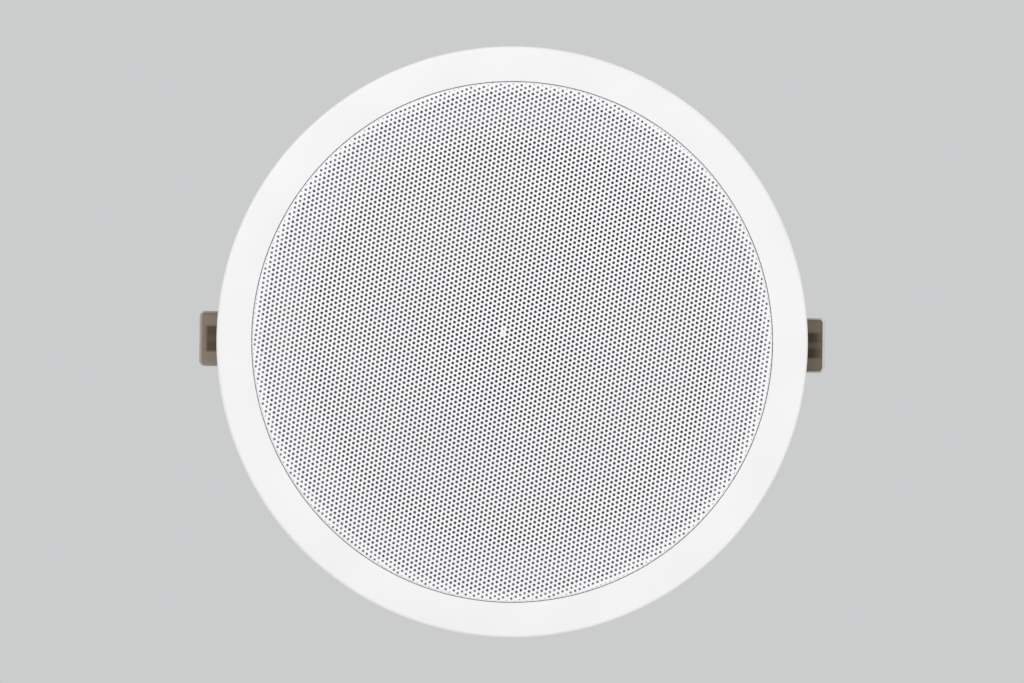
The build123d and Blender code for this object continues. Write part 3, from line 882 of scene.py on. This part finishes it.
def sheet_map(mesh, turn, sheet, wide):
    """The sheet's own map: its front in one half, its back in the other, hole walls inside their holes."""
    half_wide, front_at, back_at, margin, drawn_in = 0.49, 0.005, 0.505, 2 * MM, 0.6
    corner = np.empty(len(mesh.loops), np.int32)
    mesh.loops.foreach_get("vertex_index", corner)
    total = np.empty(len(mesh.polygons), np.int32)
    mesh.polygons.foreach_get("loop_total", total)

    def taken(name):
        """The places noted under a name, at each corner of the faces; the note is then removed."""
        places = np.empty(len(mesh.vertices) * 3)
        mesh.attributes[name].data.foreach_get("vector", places)
        mesh.attributes.remove(mesh.attributes[name])
        return places.reshape(-1, 3)[corner]

    flat, site = taken("flat"), taken("site")
    face = np.repeat(np.arange(len(total)), total)
    deep = flat[:, 2] > sheet / 2
    deep_share = np.bincount(face, deep) / total
    is_back = (deep_share > 0.99)[face]
    is_wall = ((deep_share > 0.01) & (deep_share < 0.99))[face]
    spot, inner = flat[:, :2].copy(), is_wall & deep
    middle = site[inner, :2]
    spot[inner] = middle + drawn_in * (spot[inner] - middle)
    cos, sin = math.cos(turn), math.sin(turn)
    level = spot @ np.array([[cos, -sin], [sin, cos]])
    uv = (level + margin) / (wide + 2 * margin)
    uv[:, 0] = uv[:, 0] * half_wide + np.where(is_back, back_at, front_at)
    layer = mesh.uv_layers.new(name="OFBake")
    layer.uv.foreach_set("vector", uv.astype(np.float32).ravel())


class SPEAKER_OT_frame(bpy.types.Operator):
    """Make the moulded ring with its collar, shelf, ribs, bosses and clip towers"""

    bl_idname = "speaker.frame"
    bl_label = "Moulded frame"

    def tower(self, coil, wall, seat_r, shelf_middle, groove_middle):
        """Two ears that hold a clip's pin in open slots, and the web behind its spring."""
        ear_r, slot, ease = 5.4 * MM, 2.5 * MM, 0.3 * MM
        inner, outer, overlap = 10.015 * MM, PIN_HIGH.y, 0.5 * MM
        web_out = PIVOT.x - coil - 1.09 * MM
        web_in = web_out - wall
        ear_top, web_top = PIVOT.z + ear_r, FRAME_HIGH.z
        ear = [
            (web_in, shelf_middle),
            (seat_r, shelf_middle),
            (seat_r, groove_middle),
            (PIVOT.x + ear_r, groove_middle),
            (PIVOT.x + ear_r, PIVOT.z),
            (PIVOT.x + slot, ear_top),
            (PIVOT.x + slot, PIVOT.z - slot),
            (PIVOT.x - slot, PIVOT.z - slot),
            (PIVOT.x - slot, ear_top),
            (web_out, ear_top),
            (web_out, web_top),
            (web_in, web_top),
        ]
        web = [(web_in, shelf_middle), (web_out, shelf_middle), (web_out, web_top), (web_in, web_top)]
        parts = [slab(ear, inner, outer), slab(ear, -outer, -inner)]
        parts.append(slab(web, -inner - overlap, inner + overlap))
        return joined("tower", *[bevelled(clean_mesh("tower", part), ease) for part in parts])

    def execute(self, context):
        sizes, clips = context.scene.speaker_ring, context.scene.speaker_clips
        material = moulded_white(tuple(context.scene.speaker_colours.moulding))
        collar, wall, soft, top = sizes.collar, sizes.wall, sizes.corner, COLLAR["length_mm"] * MM
        ledge_wide, shelf_wide, shelf_thick = 4 * MM, 13.3 * MM, 2.8 * MM
        recess = collar - wall
        well = recess - ledge_wide
        opening = well - shelf_wide
        shelf, ledge = top - shelf_thick, GRILLE_HIGH.z
        groove = ledge + wall
        corners = [
            (RING_R, FRONT_Z, sizes.edge),
            (RING_R, 0, 0.25 * MM),
            (collar, 0, 0),
            (collar, top, soft),
            (recess, top, soft),
            (recess, groove, soft),
            (well + wall, groove, soft),
            (well + wall, top, soft),
            (opening, top, soft),
            (opening, shelf, soft),
            (well, shelf, 0),
            (well, ledge, soft),
            (recess, ledge, 0),
            (recess, FRONT_Z, 0.3 * MM),
        ]
        body = turned("ring", corners, 6, 256)

        # Ribs and towers are sunk half way into the walls that carry them
        shelf_middle, groove_middle, seat_r = (shelf + top) / 2, groove - wall / 2, well + wall / 2
        rib_in, rib_out, rib_top = opening + 2.2 * MM, collar - wall / 2, top + 3 * MM
        rib_half, rib_slope = 1 * MM, 4 * MM
        rib = [
            (rib_in, shelf_middle),
            (seat_r, shelf_middle),
            (seat_r, groove_middle),
            (rib_out, groove_middle),
            (rib_out, rib_top),
            (rib_in + rib_slope, rib_top),
            (rib_in, top),
        ]
        rib = bevelled(clean_mesh("rib", slab(rib, -rib_half, rib_half)), 0.3 * MM)
        set_out = ring_of_copies()
        count = sizes.rib_count
        ribs = set_out({"Count": count, "Start": math.pi / count, "Material": material}, rib)

        boss_r, bore_r, taper = 4.1 * MM, 1.7 * MM, 0.5 * MM
        boss_foot, boss_top = top - 1 * MM, top + 7 * MM
        corners = [
            (bore_r, boss_foot, 0),
            (boss_r + taper, boss_foot, 0),
            (boss_r, boss_top, 0.4 * MM),
            (bore_r, boss_top, 0.25 * MM),
        ]
        boss = moved(turned("boss", corners, 3, 40), Matrix.Translation((sizes.screw_circle, 0, 0)))
        bosses = set_out({"Count": sizes.screw_count, "Start": math.pi / 4, "Material": material}, boss)

        tower = self.tower(clips.coil, wall, seat_r, shelf_middle, groove_middle)
        towers = set_out({"Count": 2, "Start": 0.0, "Material": material}, tower)
        whole = joined("moulded_frame", body, ribs, bosses, towers)
        place_piece("moulded_frame", whole, material, "speaker", "frame")
        return {"FINISHED"}


class SPEAKER_OT_grille(bpy.types.Operator):
    """Make the perforated grille with its rolled edge"""

    bl_idname = "speaker.grille"
    bl_label = "Perforated grille"

    def execute(self, context):
        sizes = context.scene.speaker_grille
        material = white_enamel(tuple(context.scene.speaker_colours.enamel))
        make_quarter = perforated_sheet()
        # Hole centres reach along the flat, the bend and the wall, less a little over half a cell
        flat, deep = GRILLE_HIGH.x - sizes.roll, GRILLE_HIGH.z - GRILLE_LOW.z
        half_cell = sizes.pitch * 0.62
        reach = flat + sizes.roll * math.pi / 2 + deep - sizes.roll - half_cell
        # An odd number, so that one row runs through the first hole, with a few to spare
        rows = 2 * math.ceil(reach / (sizes.pitch * ROW_SHARE)) + 5
        values = {
            "Pitch": sizes.pitch, "Hole": sizes.hole, "Border": sizes.border, "Sheet": sizes.sheet,
            "Reach": reach, "Flat": flat, "Roll": sizes.roll, "Front": GRILLE_LOW.z, "Rows Turn": sizes.turn,
            "Rows": rows, "Sides": sizes.sides, "First Hole": tuple(sizes.first), "Material": material,
        }
        for count, (spot, clear) in enumerate(PAINTED_HOLES):
            values[f"Painted {count}"] = spot
            values[f"Clear {count}"] = clear
        for number in range(4):
            turn = number * math.pi / 2
            mesh = make_quarter({**values, "Quarter Turn": turn}, bpy.data.meshes.new("holder"))
            sheet_map(mesh, turn, sizes.sheet, reach + sizes.pitch)
            softened(mesh, 50.0)
            place_piece(f"grille_quarter_{number + 1}", mesh, material, "speaker", "grille")
        return {"FINISHED"}


class SPEAKER_OT_basket(bpy.types.Operator):
    """Make the pressed basket with its windows"""

    bl_idname = "speaker.basket"
    bl_label = "Pressed basket"

    def execute(self, context):
        sheet, bend, tuck = 1.2 * MM, 1.2 * MM, 0.3 * MM
        rim_z, shelf_z, seat_z = BASKET_LOW.z, SPIDER_HIGH.z, BASKET_HIGH.z - sheet
        rim_r, mouth, step, neck, seat = BASKET_HIGH.x, 90.8 * MM, 52 * MM, 43 * MM, 20 * MM
        windows, spoke, bead_tall, bead_half = 12, 16 * MM, 0.9 * MM, 3.8 * MM
        half, across, rings = math.pi / windows, 12, 6
        # Shares of the way up the sloping wall: its plain foot and head, and the windows between them
        foot, low, high, head = 0.12, 0.3, 0.87, 0.95
        slope = Vector((shelf_z - rim_z, mouth - step)).normalized()

        def wall_at(share):
            """Radius and height at a share of the way from the mouth to the spider step."""
            return mouth + (step - mouth) * share, rim_z + (shelf_z - rim_z) * share

        def bead(u, v, r):
            """Height of the bead pressed along each spoke to stiffen it."""
            along = max(0.0, min(1.0, (v - 0.2) / 0.1, (0.9 - v) / 0.08))
            aside = min(1.0, (half - abs(u)) * r / bead_half)
            return bead_tall * along * along * (3 - 2 * along) * math.cos(math.pi / 2 * aside) ** 2

        def sheet_point(centre, p, q, share):
            """A point of the sheet between a window's edge (share 0) and the sheet round it (share 1)."""
            soft = (abs(p) ** 7 + abs(q) ** 7) ** (1 / 7)
            inner_v = (low + high) / 2 + (high - low) / 2 * q / soft
            inner_u = (p / soft) * (half - spoke / 2 / wall_at(inner_v)[0])
            outer_v = foot + (head - foot) * (q + 1) / 2
            v = inner_v + (outer_v - inner_v) * share
            u = inner_u + (p * half - inner_u) * share
            r, z = Vector(wall_at(v)) + slope * bead(u, v, wall_at(v)[0])
            return r * math.cos(centre + u), r * math.sin(centre + u), z

        front = [(r, rim_z) for r in (rim_r, rim_r - 4 * MM, mouth + 3 * MM, mouth + bend)]
        front += [(mouth + tuck, rim_z + 0.2 * MM), wall_at(0.04), wall_at(foot)]
        behind = [wall_at(head), (step + 0.2 * MM, shelf_z - tuck), (step - 1 * MM, shelf_z)]
        behind += [(neck + bend, shelf_z), (neck + tuck, shelf_z + tuck), (neck, shelf_z + bend)]
        behind += [(neck, seat_z - bend), (neck - tuck, seat_z - tuck), (neck - bend, seat_z), (seat, seat_z)]
        solids = [lathe(line, windows * across, False) for line in (front, behind)]

        # One window and the sheet round it, repeated
        ends = [(-1, -1), (1, -1), (1, 1), (-1, 1), (-1, -1)]
        edge = []
        for (p, q), (to_p, to_q) in zip(ends, ends[1:]):
            edge += [(p + (to_p - p) * k / across, q + (to_q - q) * k / across) for k in range(across)]
        for window in range(windows):
            centre = window * math.tau / windows
            loops = [[sheet_point(centre, p, q, ring / rings) for p, q in edge] for ring in range(rings + 1)]
            solids.append(loft(loops, False))
        verts, faces = merged(*solids)
        mesh = bpy.data.meshes.new("basket_sheet")
        mesh.from_pydata(verts, [], faces)
        work = welded(mesh, 2e-6)
        bmesh.ops.recalc_face_normals(work, faces=work.faces)
        rim_face = max(work.faces, key=lambda f: f.calc_center_median().xy.length)
        if rim_face.normal.z < 0:
            bmesh.ops.reverse_faces(work, faces=work.faces)
        mesh = put_back(work, mesh)
        mesh = with_modifier(mesh, "SOLIDIFY", thickness=sheet, offset=1.0, use_even_offset=False)
        material = black_enamel(mouth + 1.6 * MM)
        place_piece("pressed_basket", softened(mesh, 40.0), material, "speaker", "basket")
        return {"FINISHED"}


class SPEAKER_OT_diaphragm(bpy.types.Operator):
    """Make the cone, its dust cap and the voice coil"""

    bl_idname = "speaker.diaphragm"
    bl_label = "Cone and coil"

    def execute(self, context):
        paper = felted_paper()
        edge_r, neck_r, thick = CONE_HIGH.x, 13.2 * MM, 0.9 * MM
        bulge, rib_deep, rib_waves, steps = 1.4 * MM, 0.22 * MM, 9, 48
        low, high = CONE_LOW.z, CONE_HIGH.z - thick
        front = []
        for n in range(steps + 1):
            share = n / steps
            sag = bulge * math.sin(math.pi * share)
            rib = rib_deep * max(0.0, math.sin(share * rib_waves * math.pi)) if share < 0.5 else 0.0
            front.append((edge_r + (neck_r - edge_r) * share, low + (high - low) * share + sag - rib))
        mesh = clean_mesh("paper_cone", lathe(walled(front, thick)))
        place_piece("paper_cone", mesh, paper, "diaphragm", "cone")

        thick, steps = 0.6 * MM, 16
        foot = CAP_HIGH.z - thick
        dome = []
        for n in range(steps):
            turn = math.pi / 2 * n / steps
            dome.append((CAP_HIGH.x * math.cos(turn), foot - (foot - CAP_LOW.z) * math.sin(turn)))
        dome.append((0.0, CAP_LOW.z))
        mesh = clean_mesh("dust_cap", lathe(walled(dome, thick), 96))
        place_piece("domed_cap", mesh, paper, "diaphragm", "dust_cap")

        former_in, former, coil, ease = 12.6 * MM, 13 * MM, COIL_HIGH.x, 0.12 * MM
        wound = COIL_HIGH.z - 9 * MM
        corners = [
            (former_in, COIL_LOW.z, 0),
            (former, COIL_LOW.z, 0),
            (former, wound, 0),
            (coil, wound, ease),
            (coil, COIL_HIGH.z, ease),
            (former_in, COIL_HIGH.z, 0),
        ]
        mesh = turned("voice_coil", corners, turns=96)
        place_piece("wound_coil", mesh, coil_winding(wound), "diaphragm", "voice_coil")
        return {"FINISHED"}


class SPEAKER_OT_suspension(bpy.types.Operator):
    """Make the cloth surround and the corrugated spider"""

    bl_idname = "speaker.suspension"
    bl_label = "Surround and spider"

    def flexible(self, name, front, thick, material, slot, node, fixed_r, free_r):
        """A ring of cloth turned on the speaker's axis, left in place with no body to ride on."""
        mesh = clean_mesh(name, lathe(walled(front, thick), 160), 60.0)
        piece = place_piece(name, mesh, material, None, node)
        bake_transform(piece)
        # The share of the cone's travel falls with the radius, all round; it is worked out here but not kept
        points = np.array([v.co for v in piece.data.vertices])
        share = np.clip((fixed_r - np.hypot(points[:, 0], points[:, 1])) / (fixed_r - free_r), 0, 1)
        share = (share * share * (3 - 2 * share)).astype(np.float32)

    def execute(self, context):
        cloth, fullness, steps = 0.6 * MM, 0.8, 24
        inner, mouth, lip = CONE_HIGH.x + 0.1 * MM, 91.4 * MM, SURROUND_HIGH.x
        free_z, fixed_z, peak = CONE_LOW.z, BASKET_LOW.z - cloth, SURROUND_LOW.z
        front = []
        for n in range(steps + 1):
            share = n / steps
            level = free_z + (fixed_z - free_z) * share
            roll = (peak - level) * math.sin(math.pi * share) ** fullness
            front.append((inner + (mouth - inner) * share, level + roll))
        front.append((lip, fixed_z))
        material = woven("treated_cloth", (0.35, 0.34, 0.357), 0.9 * MM, 0.06 * MM)
        self.flexible("cloth_surround", front, cloth, material, "cloth", "surround", mouth, inner)

        cloth, waves, steps = 0.5 * MM, 5, 60
        outer, edge, neck = SPIDER_HIGH.x, 43 * MM, 13.15 * MM
        top = SPIDER_HIGH.z - cloth
        front = [(outer, top)]
        for n in range(steps + 1):
            share = n / steps
            wave = 0.5 - 0.5 * math.cos(math.tau * waves * share)
            front.append((edge + (neck - edge) * share, top - (top - SPIDER_LOW.z) * wave))
        material = woven("spider_cloth", (0.46, 0.28, 0.1), 0.7 * MM, 0.05 * MM)
        self.flexible("corrugated_spider", front, cloth, material, "spider_cloth", "spider", edge, neck)
        return {"FINISHED"}


class SPEAKER_OT_magnet(bpy.types.Operator):
    """Make the top plate, the ferrite ring and the yoke"""

    bl_idname = "speaker.magnet"
    bl_label = "Magnet system"

    def washer(self, bore, low, high, bore_ease, ease):
        """Corners of a flat ring with eased edges, from its bore and its box."""
        return [
            (bore, low.z, bore_ease),
            (high.x, low.z, ease),
            (high.x, high.z, ease),
            (bore, high.z, bore_ease),
        ]

    def execute(self, context):
        zinc = zinc_plate("turned_zinc", True)
        corners = self.washer(13.6 * MM, PLATE_LOW, PLATE_HIGH, 0.2 * MM, 0.5 * MM)
        mesh = turned("top_plate", corners)
        place_piece("turned_top_plate", mesh, zinc, "speaker", "top_plate")

        corners = self.washer(22.5 * MM, MAGNET_LOW, MAGNET_HIGH, 0.4 * MM, 0.7 * MM)
        mesh = turned("magnet", corners, 2)
        place_piece("ferrite_ring", mesh, ferrite(), "speaker", "magnet")

        pole, back = 12.2 * MM, YOKE_HIGH.z - 5 * MM
        corners = [
            (0, YOKE_LOW.z, 0),
            (pole, YOKE_LOW.z, 0.3 * MM),
            (pole, back, 0.2 * MM),
            (YOKE_HIGH.x, back, 0.4 * MM),
            (YOKE_HIGH.x, YOKE_HIGH.z, 0.9 * MM),
            (0, YOKE_HIGH.z, 0),
        ]
        mesh = turned("yoke", corners)
        place_piece("turned_yoke", mesh, zinc, "speaker", "yoke")
        return {"FINISHED"}


def screw_shape(head_r, head_tall, shank_r, long, cross):
    """A screw with its head at the origin and its shank along +Z: a domed head with a cross or a slot."""
    recess_r, floor = head_r * 0.62, -head_tall * 0.3
    corners = [
        (shank_r, 0, 0.1 * MM),
        (head_r, 0, 0.15 * MM),
        (head_r, -head_tall, head_tall * 0.6),
        (recess_r, -head_tall, 0),
        (recess_r, -head_tall * 0.98, 0),
        (shank_r * 0.5, floor, 0),
        (0, floor, 0),
        (0, long, 0),
        (shank_r * 0.6, long, 0),
        (shank_r, long - shank_r * 0.8, 0),
    ]
    body = turned("screw", corners, 5, 32)

    # Lands stand in the recess and leave the cross or the slot between them
    gap, reach, levels = head_r * 0.16, head_r * 0.66, (-head_tall, -head_tall * 0.25)
    shoulder = reach * 0.72
    if cross:
        land = [(gap, gap), (reach, gap), (shoulder, shoulder), (gap, reach)]
        sides = [(1, 1), (-1, 1), (1, -1), (-1, -1)]
    else:
        land = [(-reach, gap), (reach, gap), (shoulder, shoulder), (0, reach), (-shoulder, shoulder)]
        sides = [(1, 1), (1, -1)]
    lands = [loft([[(sx * x, sy * y, z) for x, y in land] for z in levels]) for sx, sy in sides]
    return joined("screw", body, clean_mesh("recess", merged(*lands)))


class SPEAKER_OT_fasteners(bpy.types.Operator):
    """Make the driver screws, the clamping screws and the screw of the terminal block"""

    bl_idname = "speaker.fasteners"
    bl_label = "Screws"

    def execute(self, context):
        sizes = context.scene.speaker_ring
        zinc = zinc_plate("zinc_screws", False)
        head_up = Matrix.Rotation(math.pi, 4, "X")
        low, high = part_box("driver_screws")
        head = 2.2 * MM
        screw = screw_shape(3.5 * MM, head, 1.5 * MM, high.z - low.z - head, True)
        screw = moved(screw, Matrix.Translation((sizes.screw_circle, 0, low.z + head)))
        values = {"Count": sizes.screw_count, "Start": math.pi / 4, "Material": zinc}
        mesh = softened(ring_of_copies()(values, screw))
        place_piece("driver_screw_set", mesh, zinc, "speaker", "driver_screws")

        low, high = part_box("terminal_screws")
        middle, head = (low + high) / 2, 1.2 * MM
        clamp = screw_shape(1.6 * MM, head, 1.1 * MM, high.z - low.z - head, False)
        values = {
            "Across": 2, "Deep": 2, "Spread X": 14.6 * MM, "Spread Y": 5.6 * MM,
            "Middle": (middle.x, middle.y, high.z - head), "Material": zinc,
        }
        mesh = softened(grid_of_copies()(values, moved(clamp, head_up)))
        place_piece("clamping_screws", mesh, zinc, "speaker", "terminal_screws")

        low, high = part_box("block_screw")
        middle, head = (low + high) / 2, 1.6 * MM
        single = screw_shape(2.6 * MM, head, 1.3 * MM, high.z - low.z - head, True)
        mesh = moved(single, head_up, Matrix.Translation((middle.x, middle.y, high.z - head)))
        place_piece("block_fixing_screw", mesh, zinc, "speaker", "block_screw")
        return {"FINISHED"}


class SPEAKER_OT_terminals(bpy.types.Operator):
    """Make the tag strip, its solder tags, the terminal block and its brass inserts"""

    bl_idname = "speaker.terminals"
    bl_label = "Terminals"

    def execute(self, context):
        tinned = plated("tinned_tags", (0.55, 0.55, 0.53), (0.78, 0.78, 0.76), 0.28)
        brass = plated("machined_brass", (0.5, 0.33, 0.1), (0.76, 0.55, 0.22), 0.26)
        pieces = (
            ("laminate_strip", "tag_strip", 0.2 * MM, laminate(), "board"),
            ("tinned_tag_pair", "solder_tags", 0.12 * MM, tinned, "tinned"),
            ("moulded_terminal_block", "terminal_block", 0.3 * MM, block_plastic(), "block_plastic"),
            ("brass_inserts", "terminal_inserts", 0.15 * MM, brass, "brass"),
        )
        for name, node, ease, material, slot in pieces:
            place_piece(name, eased_copy(node, ease), material, "speaker", node)
        return {"FINISHED"}


class SPEAKER_OT_clips(bpy.types.Operator):
    """Make the two sprung clips: pin, double torsion spring and soft sleeve"""

    bl_idname = "speaker.clips"
    bl_label = "Spring clips"

    def half_route(self, side, half, sizes):
        """Middle line of half a spring: upright end, coil round the pin, arm and half the hairpin."""
        coil, arm, tail, bend, steps = sizes.coil, sizes.arm, sizes.tail, 2.4 * MM, 28
        tip = SLEEVE_HIGH.x - 2.2 * MM - sizes.wire / 2
        straight, level = tip - bend, PIVOT.z - coil
        lifts = (FRAME_HIGH.z - PIVOT.z - 0.1 * MM, 5 * MM, 2.5 * MM, 1 * MM)
        route = [(PIVOT.x - coil, tail, PIVOT.z + lift) for lift in lifts]
        count = round(sizes.turns * steps)
        for n in range(count + 1):
            turn = math.pi + math.tau * n / steps
            y = tail + (arm - tail) * n / count
            route.append((PIVOT.x + coil * math.cos(turn), y, PIVOT.z + coil * math.sin(turn)))
        route += [(out, arm, level) for out in np.linspace(PIVOT.x + 2 * MM, straight, 9)]
        for n in range(1, 7):
            turn = math.pi / 2 * n / 6
            route.append((straight + bend * math.sin(turn), arm - bend + bend * math.cos(turn), level))
        route.append((tip, 0.0, level))
        return [(side * x, half * y, z) for x, y, z in route]

    def sleeve(self, side, sizes):
        """A pad with rounded outer corners, eased edges and a shallow dish inside its rim on both faces."""
        near, far, wide = SLEEVE_LOW.x, SLEEVE_HIGH.x, SLEEVE_HIGH.y
        rim, dish = sizes.rim, 0.42 * MM

        def loop(inset, z):
            """The pad's outline at one height, drawn in by an inset."""
            corner = max(sizes.corner - inset, 0.5 * MM)
            small = max(0.6 * MM - inset, 0.3 * MM)
            outline = [
                (near + inset, -wide + inset, small),
                (far - inset, -wide + inset, corner),
                (far - inset, wide - inset, corner),
                (near + inset, wide - inset, small),
            ]
            return [(side * x, y, z) for x, y in rounded(outline, 7)]

        # Inset and depth of each loop, from the floor of the dish over the bead of the rim to the side
        bead = [(1.75, 1.0), (1.4, 0.97), (1.15, 0.72), (0.95, 0.3), (0.72, 0.04), (0.5, 0.0)]
        bead += [(0.3, 0.16), (0.13, 0.55), (0.03, 1.1), (0.0, 1.8)]
        face = [loop(rim * inset, SLEEVE_LOW.z + dish * deep) for inset, deep in bead]
        back = [loop(rim * inset, SLEEVE_HIGH.z - dish * deep) for inset, deep in reversed(bead)]
        return clean_mesh("soft_sleeve", loft([*face, *back]), 60.0)

    def execute(self, context):
        sizes, colours = context.scene.speaker_clips, context.scene.speaker_colours
        steel = plated("drawn_wire", (0.3, 0.3, 0.3), (0.5, 0.5, 0.5), 0.26)
        zinc = zinc_plate("zinc_pins", False)
        rubber = soft_sleeve(tuple(colours.sleeve), tuple(colours.sleeve_rim_and_highlight), sizes.corner)
        pin_r, pin_half, ease = (PIN_HIGH.x - PIN_LOW.x) / 2, PIN_HIGH.y, 0.4 * MM
        corners = [(0, -pin_half, 0), (pin_r, -pin_half, ease), (pin_r, pin_half, ease), (0, pin_half, 0)]
        for side, word in ((1, "right"), (-1, "left")):
            body, pivot = f"clip_{word}", side * PIVOT.x
            pin = turned(f"pin_{word}", corners, 3, 48)
            pin = moved(pin, Matrix.Rotation(math.pi / 2, 4, "X"), Matrix.Translation((pivot, 0, PIVOT.z)))
            place_piece(f"steel_pin_{word}", pin, zinc, "speaker", f"clip_pin_{word}")
            for half, where in ((1, "back"), (-1, "front")):
                route = self.half_route(side, half, sizes)
                mesh = clean_mesh(f"spring_{word}_{where}", tube(route, sizes.wire / 2), 50.0)
                name = f"spring_wire_{word}_{where}"
                wire = place_piece(name, mesh, steel, None, f"clip_spring_{word}")
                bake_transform(wire)
            mesh = self.sleeve(side, sizes)
            place_piece(f"sleeve_{word}", mesh, rubber, body, f"clip_sleeve_{word}")
        return {"FINISHED"}


class SPEAKER_OT_stage(bpy.types.Operator):
    """Make the pale floor, soft studio light, backdrop and camera"""

    bl_idname = "speaker.stage"
    bl_label = "Studio"

    def floor(self, scene, level):
        """A wide plain floor with a faint unevenness."""
        half = 12.0
        mesh = bpy.data.meshes.new("floor")
        corners = [(-half, -half), (half, -half), (half, half), (-half, half)]
        mesh.from_pydata([(x, y, level) for x, y in corners], [], [(0, 1, 2, 3)])

        def paint(tree, place):
            cloud = tree.noise(place, 0.6)
            return {"Base Color": tree.mix(cloud, (0.84, 0.84, 0.84, 1), (0.87, 0.87, 0.87, 1))}

        pale = finish("pale_floor", (0.85, 0.85, 0.85), 0.9, paint, {"Specular IOR Level": 0.0})
        mesh.materials.append(pale)
        floor = bpy.data.objects.new("floor", mesh)
        scene.collection.objects.link(floor)

    def backdrop(self, scene, colour, ambient):
        """Even light from all round, and a plain colour where the camera or a reflection looks past."""
        scene.world = bpy.data.worlds.new("studio")
        scene.world.use_nodes = True
        tree = Tree(scene.world.node_tree)
        tree.nodes.clear()
        path = tree.add("ShaderNodeLightPath", {}, {}, "Is Camera Ray")
        seen = path.higher(path.out("Is Glossy Ray")).higher(path.out("Is Transmission Ray"))
        behind = tree.add("ShaderNodeBackground", {}, {"Color": rgba(colour), "Strength": 1.0})
        light = tree.add("ShaderNodeBackground", {}, {"Color": (1, 1, 1, 1), "Strength": ambient})
        both = tree.add("ShaderNodeMixShader", {}, {0: seen, 1: light, 2: behind})
        tree.add("ShaderNodeOutputWorld", {}, {"Surface": both})

    def lamp(self, scene, name, place, wide, power):
        """A round soft lamp that faces the speaker and stays out of view."""
        data = bpy.data.lights.new(name, "AREA")
        data.shape = "DISK"
        data.size = wide
        data.energy = power
        lamp = bpy.data.objects.new(name, data)
        lamp.location = place
        lamp.rotation_mode = "QUATERNION"
        lamp.rotation_quaternion = (-Vector(place)).to_track_quat("-Z", "Y")
        lamp.visible_camera = False
        scene.collection.objects.link(lamp)

    def camera(self, scene, studio):
        """A camera below the ring that looks straight up at it, with the photograph's framing."""
        data = bpy.data.cameras.new("camera")
        seen_wide = 2 * RING_R * PHOTO_WIDE / RING_PIXELS
        data.sensor_width = 36.0
        data.lens = data.sensor_width * studio.distance / seen_wide
        right = Vector((math.cos(studio.roll), -math.sin(studio.roll), 0))
        up = Vector((-math.sin(studio.roll), -math.cos(studio.roll), 0))
        spot = right * studio.aim[0] + up * studio.aim[1]
        spot.z = FRONT_Z - studio.distance
        axes = Matrix((right, up, right.cross(up))).transposed()
        camera = bpy.data.objects.new("camera", data)
        camera.matrix_world = Matrix.Translation(spot) @ axes.to_4x4()
        scene.collection.objects.link(camera)
        scene.camera = camera

    def execute(self, context):
        scene = context.scene
        studio = scene.speaker_studio
        scene.view_settings.view_transform = "Standard"
        self.floor(scene, studio.floor)
        self.backdrop(scene, scene.speaker_colours.backdrop, studio.ambient)
        self.lamp(scene, "key", (-0.75, -0.9, -1.35), 1.3, 12.5)
        self.lamp(scene, "fill", (0.95, 0.6, -1.2), 1.3, 7.5)
        self.lamp(scene, "top_key", (0.9, -1.0, 1.5), 1.2, 10.0)
        self.lamp(scene, "top_fill", (-1.1, 0.8, 1.3), 1.2, 4.0)
        self.camera(scene, studio)
        return {"FINISHED"}


class SPEAKER_PT_pieces(bpy.types.Panel):
    """Lists the pieces of the speaker"""

    bl_label = "Ceiling speaker"
    bl_idname = "SPEAKER_PT_pieces"
    bl_space_type = "VIEW_3D"
    bl_region_type = "UI"
    bl_category = "Speaker"

    def draw(self, context):
        for maker in MAKERS:
            self.layout.operator(maker.bl_idname)


MAKERS = (
    SPEAKER_OT_frame,
    SPEAKER_OT_grille,
    SPEAKER_OT_basket,
    SPEAKER_OT_diaphragm,
    SPEAKER_OT_suspension,
    SPEAKER_OT_magnet,
    SPEAKER_OT_fasteners,
    SPEAKER_OT_terminals,
    SPEAKER_OT_clips,
    SPEAKER_OT_stage,
)
SETTINGS = {
    "speaker_ring": RingSizes,
    "speaker_grille": GrilleSizes,
    "speaker_clips": ClipSizes,
    "speaker_colours": FinishColours,
    "speaker_studio": StudioSettings,
}


def register():
    for kind in (*SETTINGS.values(), *MAKERS, SPEAKER_PT_pieces):
        bpy.utils.register_class(kind)
    for name, kind in SETTINGS.items():
        setattr(bpy.types.Scene, name, PointerProperty(type=kind))


def unregister():
    for name in SETTINGS:
        delattr(bpy.types.Scene, name)
    for kind in reversed((*SETTINGS.values(), *MAKERS, SPEAKER_PT_pieces)):
        bpy.utils.unregister_class(kind)


def main():
    register()
    bpy.ops.speaker.frame()
    bpy.ops.speaker.grille()
    bpy.ops.speaker.basket()
    bpy.ops.speaker.diaphragm()
    bpy.ops.speaker.suspension()
    bpy.ops.speaker.magnet()
    bpy.ops.speaker.fasteners()
    bpy.ops.speaker.terminals()
    bpy.ops.speaker.clips()
    bpy.ops.speaker.stage()


if __name__ == "__main__":
    main()
